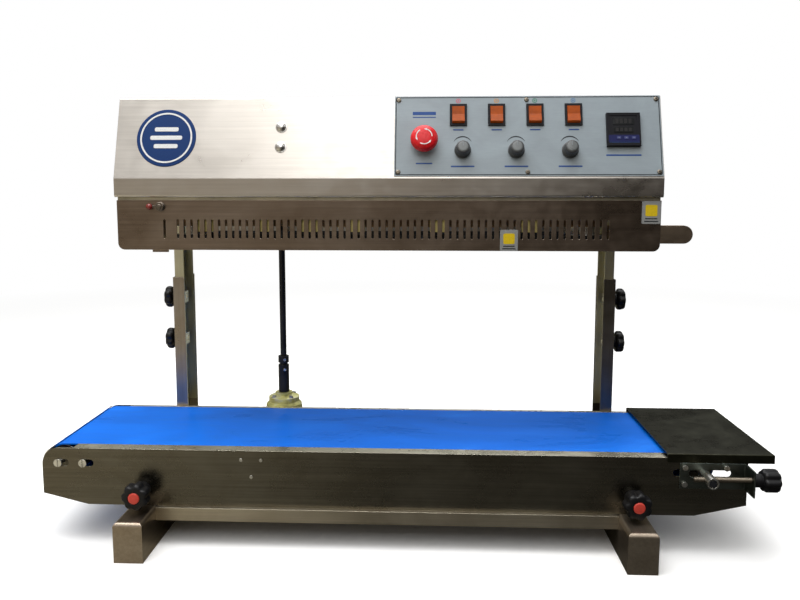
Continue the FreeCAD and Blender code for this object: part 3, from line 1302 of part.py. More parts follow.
def check():
    """Stop if any object failed or any sub-part has no valid solid."""
    for item in doc.Objects:
        if "Invalid" in item.State or "Error" in item.State:
            raise RuntimeError(f"{item.Name} ({item.Label}) failed: {item.State}")
    for item in nodes:
        if item.Shape.isNull() or not item.Shape.isValid() or item.Shape.Volume <= 0:
            raise RuntimeError(f"{item.Label} has no valid solid")


def export():
    os.makedirs("parts", exist_ok=True)
    for item in nodes:
        item.Shape.exportStep(f"parts/{item.Label}.step")
        print(f"{item.Label:24s} solids {len(item.Shape.Solids):2d}  volume {item.Shape.Volume:12.0f}")


build()
doc.recompute()
check()
export()
print(len(nodes), "sub-parts")
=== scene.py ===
import json
import math

import bmesh
import bpy
from mathutils import Matrix, Vector


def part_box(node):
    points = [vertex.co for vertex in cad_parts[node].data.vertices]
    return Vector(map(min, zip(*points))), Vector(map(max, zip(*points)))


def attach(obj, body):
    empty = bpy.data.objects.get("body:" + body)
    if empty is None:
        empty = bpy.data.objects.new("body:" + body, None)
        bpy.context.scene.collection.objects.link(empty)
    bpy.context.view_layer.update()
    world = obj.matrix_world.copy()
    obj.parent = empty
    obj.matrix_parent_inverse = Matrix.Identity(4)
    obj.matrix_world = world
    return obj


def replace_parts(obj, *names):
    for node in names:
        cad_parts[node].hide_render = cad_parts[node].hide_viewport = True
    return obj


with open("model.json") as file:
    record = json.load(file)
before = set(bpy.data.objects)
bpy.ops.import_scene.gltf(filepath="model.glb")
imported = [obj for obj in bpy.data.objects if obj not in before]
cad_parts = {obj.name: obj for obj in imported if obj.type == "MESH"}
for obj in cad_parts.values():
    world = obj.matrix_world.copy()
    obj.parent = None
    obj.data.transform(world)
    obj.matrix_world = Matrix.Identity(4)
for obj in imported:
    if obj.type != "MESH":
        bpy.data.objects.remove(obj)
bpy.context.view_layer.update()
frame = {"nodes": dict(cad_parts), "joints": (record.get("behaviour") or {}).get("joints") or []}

# The looks of the continuous band sealer: materials for every CAD node, and the finer pieces that stand for
# its knobs, dials, buttons, screws and printed panel.  The row frame is in metres.  Shapes are drawn in
# millimetres, in the local frames that seat() makes, and MM turns millimetres into metres.

MM = 0.001
JOINTS = {joint["name"]: joint for joint in frame["joints"]}
X_AXIS = Vector((1, 0, 0))
Y_AXIS = Vector((0, 1, 0))
Z_AXIS = Vector((0, 0, 1))


# ---------------------------------------------------------------- places

def low(node):
    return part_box(node)[0]


def high(node):
    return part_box(node)[1]


def middle(node):
    return (Vector(low(node)) + Vector(high(node))) / 2


def joint_spot(name):
    return Vector(JOINTS[name]["pos_m"])


def joint_axis(name):
    return Vector(JOINTS[name]["axis"]).normalized()


def seat(spot, axis, up):
    """A local frame in millimetres at a spot: Z along the axis, and Y as near to up as it can be."""
    z = Vector(axis).normalized()
    x = Vector(up).cross(z).normalized()
    y = z.cross(x)
    matrix = Matrix((x, y, z)).transposed().to_4x4() @ Matrix.Scale(MM, 4)
    matrix.translation = Vector(spot)
    return matrix


# The panel slopes: OUTWARD leaves its face, and UPWARD runs up it.  The dials' axes give both.
OUTWARD = joint_axis("speed_dial_turn")
UPWARD = OUTWARD.cross(X_AXIS)
DIALS = ("top_heat_dial", "set_heat_dial", "speed_dial")
DIAL_LIFT = 10
PANEL_WALL = 1.5
PRINT = (PANEL_WALL, PANEL_WALL + 0.12)

# Rows on the slope, in millimetres up from its fold.
DIAL_ROW = 41.5
SCREW_ROWS = (9, 119)
BOLT_ROWS = (48, 78.7)
BADGE_ROW = 62.3
STOP_ROW = 55
PANEL_ROW = 64
SWITCH_MARK_ROW = 117.7
DISPLAY_ROWS = (83.5, 70.5)
METER_ROW = 71.15
KEY_ROW = 58
FOLD = joint_spot("speed_dial_turn") - (UPWARD * DIAL_ROW + OUTWARD * DIAL_LIFT) * MM


def slope_seat(x, along):
    """A local frame on the sloping face, at x in the row frame and some millimetres up from the fold."""
    spot = FOLD + UPWARD * along * MM
    return seat((x, spot.y, spot.z), OUTWARD, UPWARD)


# ---------------------------------------------------------------- materials

class Nodes:
    """A node tree, with short ways to add, link and blend its nodes."""

    def __init__(self, tree):
        self.tree = tree
        tree.nodes.clear()

    def add(self, kind, **settings):
        node = self.tree.nodes.new(kind)
        for key, value in settings.items():
            setattr(node, key, value)
        return node

    def link(self, source, output, target, socket):
        self.tree.links.new(source.outputs[output], target.inputs[socket])

    def remap(self, source, start, end, first, second, kind="LINEAR"):
        node = self.add("ShaderNodeMapRange", interpolation_type=kind)
        for socket, value in (("From Min", start), ("From Max", end), ("To Min", first),
                              ("To Max", second)):
            node.inputs[socket].default_value = value
        self.link(*source, node, "Value")
        return node, "Result"

    def math(self, operation, first, second):
        node = self.add("ShaderNodeMath", operation=operation)
        self.link(*first, node, 0)
        self.link(*second, node, 1)
        return node, "Value"

    def mix(self, kind, factor, first, second):
        node = self.add("ShaderNodeMix", data_type="RGBA", blend_type=kind)
        for socket, value in ((0, factor), (6, first), (7, second)):
            if isinstance(value, tuple) and isinstance(value[0], bpy.types.Node):
                self.link(*value, node, socket)
            elif socket == 0:
                node.inputs[0].default_value = value
            else:
                node.inputs[socket].default_value = (*value, 1)
        return node, 2


class Surface(Nodes):
    """A Principled material whose colour, roughness and bump come from procedural nodes."""

    def __init__(self, name, metallic=0.0, roughness=0.5, **constants):
        self.material = bpy.data.materials.new(name)
        self.material.use_nodes = True
        super().__init__(self.material.node_tree)
        self.shader = self.add("ShaderNodeBsdfPrincipled")
        self.output = self.add("ShaderNodeOutputMaterial")
        self.link(self.shader, "BSDF", self.output, "Surface")
        self.shader.inputs["Metallic"].default_value = metallic
        self.shader.inputs["Roughness"].default_value = roughness
        for key, value in constants.items():
            self.shader.inputs[key.replace("_", " ")].default_value = value
        self.place = self.add("ShaderNodeTexCoord")
        self.edge = self.add("ShaderNodeBevel", samples=4)
        self.edge.inputs["Radius"].default_value = 0.6 * MM
        self.normal = (self.edge, "Normal")

    def scaled_place(self, stretch):
        mapping = self.add("ShaderNodeMapping")
        mapping.inputs["Scale"].default_value = stretch
        self.link(self.place, "Object", mapping, "Vector")
        return mapping

    def noise(self, stretch, detail=4.0, rough=0.55, distortion=0.0):
        """Noise in the row frame, with its own frequency along each axis, in cycles a metre."""
        noise = self.add("ShaderNodeTexNoise")
        for socket, value in (("Scale", 1.0), ("Detail", detail), ("Roughness", rough),
                              ("Distortion", distortion)):
            noise.inputs[socket].default_value = value
        self.link(self.scaled_place(stretch), "Vector", noise, "Vector")
        return noise, "Fac"

    def cells(self, frequency):
        voronoi = self.add("ShaderNodeTexVoronoi")
        voronoi.inputs["Scale"].default_value = 1.0
        self.link(self.scaled_place((frequency,) * 3), "Vector", voronoi, "Vector")
        return voronoi, "Distance"

    def vary(self, source, first, second):
        """A value that goes from first to second with a noise's usual swing."""
        return self.remap(source, 0.3, 0.7, first, second)

    def ramp(self, source, *stops):
        node = self.add("ShaderNodeValToRGB")
        elements = node.color_ramp.elements
        elements[0].position, elements[0].color = stops[0][0], (*stops[0][1], 1)
        elements[1].position, elements[1].color = stops[-1][0], (*stops[-1][1], 1)
        for position, colour in stops[1:-1]:
            elements.new(position).color = (*colour, 1)
        self.link(*source, node, "Fac")
        return node, "Color"

    def worn_edges(self, start=0.02, end=0.25):
        """1 along sharp edges and 0 on the faces, from how far the rounded normal leaves the true one."""
        geometry = self.add("ShaderNodeNewGeometry")
        dot = self.add("ShaderNodeVectorMath", operation="DOT_PRODUCT")
        self.link(self.edge, "Normal", dot, 0)
        self.link(geometry, "Normal", dot, 1)
        return self.remap((dot, "Value"), 1 - start, 1 - end, 0.0, 1.0)

    def edged(self, tint, edge, *wear):
        """The tint, with another colour where edges are worn."""
        return self.mix("MIX", self.worn_edges(*wear), tint, edge)

    def facing(self, axis):
        """1 where the surface looks straight along the axis."""
        geometry = self.add("ShaderNodeNewGeometry")
        split = self.add("ShaderNodeSeparateXYZ")
        self.link(geometry, "Normal", split, "Vector")
        return self.remap((split, axis), 0.90, 0.98, 0.0, 1.0)

    def bump(self, source, depth, strength):
        node = self.add("ShaderNodeBump")
        node.inputs["Distance"].default_value = depth * MM
        node.inputs["Strength"].default_value = strength
        self.link(*source, node, "Height")
        self.link(*self.normal, node, "Normal")
        self.normal = (node, "Normal")

    def finish(self, tint, rough, *bumps):
        """Join up the colour, the roughness and each (source, depth, strength) bump."""
        self.link(*tint, self.shader, "Base Color")
        self.link(*rough, self.shader, "Roughness")
        for bump in bumps:
            self.bump(*bump)
        self.link(*self.normal, self.shader, "Normal")
        return self.material


def scaled(colour, factor):
    return tuple(min(1.0, part * factor) for part in colour)


def raised(colour, amount):
    return tuple(part + amount for part in colour)


def brushed(name, base, along, roughness=0.34, grain=0.10, stain=0.18, edge=1.5, top=None, side=None):
    """Brushed sheet: long grain along one axis, slow stains and smears, polished edges, and painted
    highlights: the top colour on faces that look straight up, the side colour on faces that look along +X.
    """
    surface = Surface(name, 1.0, roughness)
    fine = [1400.0] * 3
    coarse = [260.0] * 3
    fine["xyz".index(along)] = 14.0
    coarse["xyz".index(along)] = 3.0
    lines = surface.noise(fine, 3.0, 0.65)
    bands = surface.noise(coarse, 2.0, 0.5)
    smears = surface.noise((7.0, 9.0, 11.0), 5.0, 0.62, 0.6)
    spots = surface.noise((60.0, 75.0, 70.0), 3.0, 0.6)
    both = surface.mix("MIX", 0.45, lines, bands)
    tint = surface.ramp(both, (0.25, scaled(base, 1 - grain * 2)), (0.75, scaled(base, 1 + grain * 2)))
    stained = (1 - stain * 1.3, 1 - stain * 1.5, 1 - stain * 1.7)
    tint = surface.mix("MULTIPLY", 1.0, tint, surface.ramp(smears, (0.30, stained), (0.68, (1, 1, 1))))
    tint = surface.edged(tint, scaled(base, edge))
    # Painted highlight: faces that look straight up take the top colour, as if lit from above.
    if top:
        tint = surface.mix("MIX", surface.facing("Z"), tint, top)
    # Painted highlight: faces that look along +X take the side colour and lose their metal, so they read as
    # lit.
    if side:
        inner = surface.facing("X")
        tint = surface.mix("MIX", inner, tint, side)
        surface.link(*surface.remap(inner, 0.0, 1.0, 1.0, 0.0), surface.shader, "Metallic")
    smooth = surface.vary(smears, roughness - 0.06, roughness + 0.08)
    rough = surface.math("ADD", smooth, surface.remap(spots, 0.4, 0.8, 0.0, 0.09))
    return surface.finish(tint, rough, (lines, 0.03, 0.35), (bands, 0.04, 0.25))


def turned_metal(name, base, roughness=0.25, wear=1.3):
    """Machined or plated metal: fine tool marks, faint tarnish and bright edges."""
    surface = Surface(name, 1.0, roughness)
    marks = surface.noise((900.0,) * 3, 2.0, 0.6)
    tarnish = surface.noise((38.0, 30.0, 34.0), 4.0, 0.6, 0.4)
    tint = surface.ramp(tarnish, (0.32, scaled(base, 0.72)), (0.62, base))
    tint = surface.edged(tint, scaled(base, wear))
    rough = surface.vary(tarnish, roughness + 0.12, roughness - 0.04)
    return surface.finish(tint, rough, (marks, 0.02, 0.3))


def cast_metal(name, base):
    """A sand-textured casting with a yellow passivated skin."""
    surface = Surface(name, 0.45, 0.42)
    sand = surface.noise((900.0,) * 3, 5.0, 0.7)
    patches = surface.noise((45.0, 45.0, 60.0), 4.0, 0.6, 0.8)
    tint = surface.ramp(patches, (0.30, scaled(base, 0.62)), (0.50, base), (0.72, (0.80, 0.80, 0.66)))
    tint = surface.edged(tint, (0.86, 0.85, 0.72))
    return surface.finish(tint, surface.vary(sand, 0.34, 0.58), (sand, 0.10, 0.55))


def plastic(name, base, roughness=0.42, grain=0.35, worn=1.9, **constants):
    """Moulded plastic: a fine spark-eroded grain, handling shine and paler edges."""
    surface = Surface(name, roughness=roughness, **constants)
    texture = surface.noise((1600.0,) * 3, 3.0, 0.6)
    handling = surface.noise((55.0,) * 3, 4.0, 0.6, 0.5)
    tint = surface.ramp(handling, (0.30, scaled(base, 0.82)), (0.70, scaled(base, 1.18)))
    tint = surface.edged(tint, scaled(base, worn), 0.05, 0.45)
    rough = surface.vary(handling, roughness - 0.08, roughness + 0.10)
    return surface.finish(tint, rough, (texture, 0.03, grain))


def painted(name, base, roughness=0.35, chipped=(0.35, 0.34, 0.32)):
    """Enamelled or blackened steel with orange peel, and bare metal at the edges."""
    surface = Surface(name, 0.1, roughness, Specular_IOR_Level=0.3)
    peel = surface.noise((420.0,) * 3, 2.0, 0.5)
    dust = surface.noise((30.0, 34.0, 26.0), 5.0, 0.65, 0.3)
    tint = surface.ramp(dust, (0.35, base), (0.75, raised(base, 0.03)))
    chips = surface.math("MULTIPLY", surface.worn_edges(0.08, 0.5), surface.remap(dust, 0.4, 0.6, 0.1, 1.0))
    rough = surface.remap(dust, 0.3, 0.8, roughness, roughness + 0.18)
    return surface.finish(surface.mix("MIX", chips, tint, chipped), rough, (peel, 0.05, 0.3))


def belt_cloth(name, base):
    """Smooth plastic-coated belting: a faint weave under the gloss, scuffs along X and a little dust."""
    surface = Surface(name, roughness=0.32, Specular_IOR_Level=0.16)
    weave = surface.noise((1100.0,) * 3, 2.0, 0.5)
    scuffs = surface.noise((9.0, 620.0, 620.0), 4.0, 0.7)
    wear = surface.noise((5.0, 13.0, 9.0), 5.0, 0.6, 0.7)
    tint = surface.ramp(wear, (0.28, scaled(base, 0.80)), (0.55, base), (0.80, (0.008, 0.23, 0.94)))
    tint = surface.mix("MIX", surface.remap(scuffs, 0.60, 0.85, 0.0, 0.14), tint, (0.16, 0.40, 0.92))
    rough = surface.math("ADD", surface.vary(wear, 0.24, 0.38), surface.remap(scuffs, 0.5, 0.8, 0.0, 0.12))
    return surface.finish(tint, rough, (weave, 0.03, 0.3), (wear, 0.35, 0.12))


def rubber(name, base):
    surface = Surface(name, roughness=0.62)
    texture = surface.noise((700.0,) * 3, 4.0, 0.65)
    dust = surface.noise((40.0, 46.0, 52.0), 4.0, 0.6, 0.4)
    tint = surface.ramp(dust, (0.35, base), (0.80, raised(base, 0.05)))
    return surface.finish(tint, surface.vary(texture, 0.52, 0.74), (texture, 0.08, 0.4))


def glass_cloth(name, base):
    """Coated glass cloth: a square weave, browned where it is heated."""
    surface = Surface(name, roughness=0.36)
    heat = surface.noise((16.0, 20.0, 90.0), 4.0, 0.6, 0.5)
    tint = surface.ramp(heat, (0.30, scaled(base, 0.45)), (0.70, base))
    return surface.finish(tint, surface.vary(heat, 0.46, 0.30), (surface.cells(900.0), 0.06, 0.5))


def printed_plate(name, base):
    """The panel's satin anodised face, faintly mottled and handled."""
    surface = Surface(name, roughness=0.42, Specular_IOR_Level=0.45)
    satin = surface.noise((45.0, 1300.0, 1300.0), 3.0, 0.6)
    mottle = surface.noise((14.0, 18.0, 20.0), 5.0, 0.6, 0.6)
    tint = surface.ramp(mottle, (0.30, scaled(base, 0.86)), (0.72, scaled(base, 1.08)))
    fine = surface.ramp(satin, (0.30, (0.93, 0.93, 0.93)), (0.70, (1.0, 1.0, 1.0)))
    tint = surface.edged(surface.mix("MULTIPLY", 1.0, tint, fine), (0.82, 0.84, 0.86))
    return surface.finish(tint, surface.vary(mottle, 0.36, 0.50), (satin, 0.02, 0.3))


def ink(name, base, roughness=0.45):
    """Screen-printed ink: slightly uneven, with a trace of texture."""
    surface = Surface(name, roughness=roughness, Specular_IOR_Level=0.15)
    cover = surface.noise((700.0,) * 3, 3.0, 0.7)
    tint = surface.ramp(cover, (0.25, scaled(base, 0.78)), (0.60, base))
    return surface.finish(tint, surface.vary(cover, roughness - 0.08, roughness + 0.12), (cover, 0.01, 0.3))


def lit(name, base, glow, power):
    """Tinted plastic with a lamp behind it: brighter in the middle of its own depth of colour."""
    surface = Surface(name, roughness=0.34, Specular_IOR_Level=0.15, Emission_Strength=power)
    flow = surface.noise((90.0, 90.0, 150.0), 3.0, 0.55, 0.3)
    tint = surface.ramp(flow, (0.30, scaled(base, 0.70)), (0.70, base))
    shine = surface.ramp(flow, (0.30, scaled(glow, 0.55)), (0.70, glow))
    surface.link(*shine, surface.shader, "Emission Color")
    return surface.finish(tint, surface.vary(flow, 0.28, 0.42), (flow, 0.05, 0.2))


# HEAD_SHEET to GUIDE_SHEET all stand for one brushed stainless steel. GUARD_SHEET, PLATE_SHEET, TABLE_SHEET
# and SHADED_SHEET are darker copies of it: painted shade for the dark surroundings their faces reflect.
HEAD_SHEET = brushed("head_sheet", (0.56, 0.53, 0.49), "x", 0.28, 0.06, 0.06)
GUARD_SHEET = brushed("guard_sheet", (0.255, 0.205, 0.165), "x", 0.31, 0.12, 0.16, 2.0)
# PLATE_SHEET's last colour is a painted highlight on its faces that look straight up.
PLATE_SHEET = brushed("plate_sheet", (0.160, 0.149, 0.119), "x", 0.26, 0.14, 0.20, 2.2, (0.95, 0.90, 0.74))
FOOT_SHEET = brushed("foot_sheet", (0.44, 0.375, 0.30), "y", 0.34, 0.12, 0.18, 1.6)
BEAM_SHEET = brushed("beam_sheet", (0.55, 0.50, 0.40), "x", 0.32, 0.10, 0.18, 1.4)
TABLE_SHEET = brushed("table_sheet", (0.055, 0.056, 0.038), "y", 0.27, 0.14, 0.30, 3.6)
# COLUMN_SHEET's last colour is a painted highlight on its faces that look along +X. SHADED_SHEET is the
# same column sheet in painted shade, for the right outer column.
COLUMN_SHEET = brushed("column_sheet", (0.37, 0.325, 0.27), "z", 0.32, 0.10, 0.16, 1.8, None,
                       (0.98, 0.96, 0.66))
SHADED_SHEET = brushed("shaded_sheet", (0.20, 0.18, 0.15), "z", 0.34, 0.10, 0.16, 1.8)
INNER_SHEET = brushed("inner_sheet", (0.66, 0.64, 0.47), "z", 0.40, 0.06, 0.12, 1.3)
BED_SHEET = brushed("bed_sheet", (0.50, 0.48, 0.42), "x", 0.34)
GUIDE_SHEET = brushed("guide_sheet", (0.46, 0.37, 0.28), "x", 0.30, 0.06, 0.10)
BRACKET_SHEET = brushed("bracket_sheet", (0.17, 0.20, 0.185), "x", 0.30, 0.12, 0.30, 3.0)
BRIGHT = turned_metal("bright_steel", (0.72, 0.71, 0.68), 0.20)
PIN = turned_metal("axle_steel", (0.62, 0.61, 0.57), 0.24)
SCREW = turned_metal("dark_screw", (0.22, 0.19, 0.15), 0.34, 2.2)
WHEEL = turned_metal("turned_wheel", (0.68, 0.67, 0.64), 0.26)
GEAR = turned_metal("oiled_gear", (0.40, 0.40, 0.41), 0.30)
MOUNT = turned_metal("mount_plate", (0.52, 0.49, 0.38), 0.36)
BRASS = turned_metal("block_brass", (0.66, 0.46, 0.24), 0.34)
ZINC = turned_metal("yellow_zinc", (0.92, 0.80, 0.34), 0.42)
LATCH = turned_metal("latch_plating", (0.20, 0.17, 0.14), 0.32, 2.4)
CAST = cast_metal("cast_zinc", (0.76, 0.73, 0.27))
KNOB = plastic("knob_black", (0.006, 0.006, 0.007), 0.40, 0.4, 3.0, Specular_IOR_Level=0.30)
CASE = plastic("case_black", (0.006, 0.006, 0.009), 0.45, 0.3, 3.0, Specular_IOR_Level=0.18)
CAP_RED = plastic("cap_red", (0.66, 0.065, 0.045), 0.40, 0.3, 1.2)
BALL_RED = plastic("ball_red", (0.20, 0.016, 0.012), 0.28, 0.2, 1.6, Coat_Weight=0.4)
STOP_RED = plastic("stop_red", (0.60, 0.010, 0.016), 0.26, 0.12, 1.4, Specular_IOR_Level=0.30)
DIAL_SKIRT = plastic("dial_skirt", (0.050, 0.052, 0.054), 0.40, 0.4, 2.2)
KEY = plastic("key_blue", (0.030, 0.040, 0.16), 0.40, 0.3, 1.6)
MOTOR = painted("motor_enamel", (0.09, 0.11, 0.13))
SHAFT = painted("black_shaft", (0.007, 0.007, 0.007), 0.32)
BELT = belt_cloth("blue_belting", (0.003, 0.165, 0.80))
LAGGING = rubber("roller_rubber", (0.030, 0.030, 0.030))
GRIP = rubber("grip_rubber", (0.016, 0.016, 0.016))
BAND = glass_cloth("band_cloth", (0.45, 0.27, 0.14))
PANEL = printed_plate("panel_face", (0.275, 0.325, 0.36))
DIAL_CAP = plastic("dial_cap", (0.125, 0.137, 0.14), 0.32, 0.3, 1.6, Coat_Weight=0.2)
ROCKER = lit("lit_rocker", (0.33, 0.062, 0.005), (1.0, 0.17, 0.010), 0.06)
DISPLAY = plastic("display_glass", (0.010, 0.011, 0.012), 0.16, 0.05, 1.5, Specular_IOR_Level=0.25)
DISPLAY_BLUE = ink("display_blue", (0.012, 0.015, 0.080), 0.40)
SEGMENT = ink("segment_grey", (0.022, 0.021, 0.022), 0.4)
INK_BLUE = ink("ink_blue", (0.035, 0.085, 0.27))
INK_DARK = ink("ink_dark", (0.016, 0.017, 0.020))
INK_GREY = ink("ink_grey", (0.22, 0.24, 0.26))
INK_WHITE = ink("ink_white", (0.80, 0.81, 0.82))
INK_RED = ink("ink_red", (0.66, 0.10, 0.16))
INK_AMBER = ink("ink_amber", (0.62, 0.30, 0.08))
INK_GREEN = ink("ink_green", (0.02, 0.24, 0.12))
INK_CYAN = ink("ink_cyan", (0.07, 0.20, 0.42))
LABEL_YELLOW = ink("label_yellow", (0.80, 0.58, 0.02))
LABEL_FIELD = ink("label_field", (0.30, 0.31, 0.31), 0.40)
ENAMEL = ink("badge_blue", (0.010, 0.040, 0.155), 0.60)

NODE_LOOKS = {
    HEAD_SHEET: ["housing", "rear_cover"],
    GUARD_SHEET: ["guard"],
    PLATE_SHEET: ["front_side_plate", "rear_side_plate"],
    FOOT_SHEET: ["left_foot", "right_foot"],
    BEAM_SHEET: ["cross_beam"],
    TABLE_SHEET: ["table_plate"],
    COLUMN_SHEET: ["left_outer_column"],
    SHADED_SHEET: ["right_outer_column"],
    INNER_SHEET: ["left_inner_column", "right_inner_column"],
    BED_SHEET: ["belt_bed"],
    GUIDE_SHEET: ["bag_guides"],
    BRIGHT: ["left_end_roller", "take_up_roller", "head_screws"],
    PIN: ["conveyor_ties", "take_up_axle"],
    BRACKET_SHEET: ["tension_bracket"],
    WHEEL: ["front_drive_wheel", "rear_drive_wheel", "front_driven_wheel", "rear_driven_wheel"],
    GEAR: ["motor_gear", "shaft_hub"],
    MOUNT: ["mounting_plate"],
    BRASS: ["seal_blocks"],
    ZINC: ["zinc_brackets"],
    LATCH: ["guard_latch"],
    CAST: ["gearbox_housing"],
    SHAFT: ["transmission_shaft", "shaft_coupler"],
    BELT: ["conveyor_belt"],
    LAGGING: ["drive_roller"],
    BAND: ["seal_bands"],
    MOTOR: ["drive_motor"],
    PANEL: ["control_panel"],
    CASE: ["switch_frames", "temperature_controller", "power_gland"],
    ROCKER: ["rocker_1", "rocker_2", "rocker_3", "rocker_4"],
    KEY: ["set_key", "down_key", "up_key"],
    KNOB: ["left_upper_knob", "left_lower_knob", "right_upper_knob", "right_lower_knob",
           "left_conveyor_knob", "right_conveyor_knob", "tension_knob"],
    DIAL_SKIRT: ["top_heat_dial", "set_heat_dial", "speed_dial"],
    STOP_RED: ["estop_button"],
}


def dress_nodes():
    """Give every CAD node its material."""
    for material, names in NODE_LOOKS.items():
        for name in names:
            mesh = frame["nodes"][name].data
            mesh.materials.clear()
            mesh.materials.append(material)


# ---------------------------------------------------------------- mesh building

def rounded(points, radius, steps=4, closed=False):
    """The same line with each corner eased into a curve that starts a radius away from it."""
    result = []
    total = len(points)
    for index, point in enumerate(points):
        here = Vector(point)
        if not closed and index in (0, total - 1):
            result.append(tuple(here))
            continue
        before = Vector(points[index - 1]) - here
        after = Vector(points[(index + 1) % total]) - here
        reach = min(radius, before.length * 0.45, after.length * 0.45)
        start = here + before.normalized() * reach
        end = here + after.normalized() * reach
        for step in range(steps + 1):
            share = step / steps
            spot = start * (1 - share) ** 2 + here * 2 * share * (1 - share) + end * share ** 2
            result.append(tuple(spot))
    return result


def ring_of(radius, count, centre=(0, 0), start=0.0, sweep=2 * math.pi):
    """Points round a circle, or along an arc with both of its ends."""
    steps = count if sweep >= 2 * math.pi else count - 1
    return [(centre[0] + radius * math.cos(start + sweep * index / steps),
             centre[1] + radius * math.sin(start + sweep * index / steps)) for index in range(count)]


def rectangle(width, height, radius=0.0, centre=(0, 0), steps=3):
    corners = [(centre[0] + sx * width / 2, centre[1] + sy * height / 2)
               for sx, sy in ((-1, -1), (1, -1), (1, 1), (-1, 1))]
    return rounded(corners, radius, steps, True) if radius else corners


AXIS_GAP = 0.02


def shaped(profile, count, reach_at):
    """Rings of a turned shape whose radius is reach_at(radius, height, angle)."""
    rings = []
    for radius, height in profile:
        ring = []
        for index in range(count):
            angle = 2 * math.pi * index / count
            reach = max(reach_at(radius, height, angle), AXIS_GAP)
            ring.append((reach * math.cos(angle), reach * math.sin(angle), height))
        rings.append(ring)
    return rings


class Shells:
    """Closed mesh shells that together make one piece."""

    def __init__(self):
        self.mesh = bmesh.new()

    def loft(self, matrix, rings, ends=True):
        """Skin equal rings of local points, and close the first and the last."""
        rows = [[self.mesh.verts.new(matrix @ Vector(point)) for point in ring] for ring in rings]
        total = len(rows[0])
        for first, second in zip(rows, rows[1:]):
            for index in range(total):
                after = (index + 1) % total
                self.mesh.faces.new((first[index], first[after], second[after], second[index]))
        if ends:
            self.mesh.faces.new(rows[0])
            self.mesh.faces.new(rows[-1])
        return self

    def lathe(self, matrix, profile, count=48):
        """Turn (radius, height) points about the local Z axis."""
        return self.loft(matrix, shaped(profile, count, lambda radius, height, angle: radius))

    def prism(self, matrix, outline, bottom, top, ease=0.0):
        """A flat shape pushed from bottom to top, its upper edge eased inwards."""
        rings = [[(*point, bottom) for point in outline], [(*point, top - ease) for point in outline]]
        if ease:
            centre = sum((Vector(point) for point in outline), Vector((0, 0))) / len(outline)
            inner = []
            for point in outline:
                away = Vector(point) - centre
                inner.append((*(centre + away * (1 - ease / away.length)), top))
            rings.append(inner)
        return self.loft(matrix, rings)

    def strip(self, matrix, inner, outer, bottom, top, closed=False):
        """A flat band between two matched lines."""
        rings = [[(*a, bottom), (*b, bottom), (*b, top), (*a, top)] for a, b in zip(inner, outer)]
        if closed:
            rings.append(rings[0])
        return self.loft(matrix, rings, not closed)

    def piece(self, name, material, body, slot, sharp=32.0):
        bmesh.ops.remove_doubles(self.mesh, verts=self.mesh.verts, dist=0.001 * MM)
        bmesh.ops.recalc_face_normals(self.mesh, faces=self.mesh.faces)
        for edge in self.mesh.edges:
            edge.smooth = len(edge.link_faces) == 2 and edge.calc_face_angle() < math.radians(sharp)
        for face in self.mesh.faces:
            face.smooth = True
        data = bpy.data.meshes.new(name)
        self.mesh.to_mesh(data)
        self.mesh.free()
        data.materials.append(material)
        made = bpy.data.objects.new(name, data)
        bpy.context.scene.collection.objects.link(made)
        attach(made, body)
        return made


# ---------------------------------------------------------------- knobs

def thread(radius, start, end, pitch=1.5):
    """A screw's half outline: crests and roots from start to end along the axis."""
    root = radius - 0.55
    turns = int((end - start) / pitch)
    profile = []
    for turn in range(turns):
        profile += [(root, start + turn * pitch), (radius, start + (turn + 0.5) * pitch)]
    return profile + [(root, end)]


def star_knob(name, radius, inner, neck, stud, dish=0.0):
    """A lobed grip with soft edges, on its neck and threaded stud, that stands for the CAD knob."""
    lobes = 7
    joint = "tension_turn" if name == "tension_knob" else name + "_turn"
    spot, axis = joint_spot(joint), joint_axis(joint)
    matrix = seat(spot, axis, Z_AXIS)
    back, front = sorted((Vector(corner) - spot).dot(axis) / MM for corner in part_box(name))
    profile = [(0, inner), (radius * 0.55, inner), (radius * 0.86, inner + 1.2), (radius, inner + 4),
               (radius, front - 4.5), (radius * 0.88, front - 0.8), (radius * 0.62, front)]
    if dish:
        profile += [(dish + 0.5, front), (dish, front - 1.9), (0, front - 1.9)]
    else:
        profile += [(radius * 0.42, front - 0.2), (radius * 0.36, front - 1.4), (0, front - 1.4)]

    def lobed(reach, height, angle):
        bite = ((1 + math.cos(lobes * angle)) / 2) ** 1.6
        return max(reach, AXIS_GAP) * (1 - bite * min(1.0, reach / radius) ** 2 / 6)

    shells = Shells().loft(matrix, shaped(rounded(profile, 2.4), lobes * 14, lobed))
    shells.lathe(matrix, rounded([(0, 0.3), (neck, 0.3), (neck, inner + 1), (0, inner + 1)], 0.8))
    grip = shells.piece(name + "_grip", KNOB, name, "black_knob", 40)
    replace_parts(grip, name)
    outline = [(0, back), (stud - 1, back)] + thread(stud, back + 1, 0.4) + [(0, 0.4)]
    screw = Shells().lathe(matrix, outline, 32)
    screw.piece(name + "_stud", SCREW if stud < 5 else BRIGHT, name, "bright_steel", 60)
    return matrix, front


def knobs():
    for side in ("left", "right"):
        for level in ("upper", "lower"):
            star_knob(f"{side}_{level}_knob", 19, 8, 10, 5)
        label = f"{side}_conveyor_knob"
        matrix, front = star_knob(label, 20, 16, 12, 5, 8.5)
        cap = [(0, front - 1.9), (8.3, front - 1.9), (8.3, front + 0.1), (6.6, front + 0.9),
               (0, front + 1.1)]
        Shells().lathe(matrix, rounded(cap, 0.8)).piece(label + "_cap", CAP_RED, label, "stop_red")
    star_knob("tension_knob", 16.5, 11, 9.5, 4)


# ---------------------------------------------------------------- panel controls

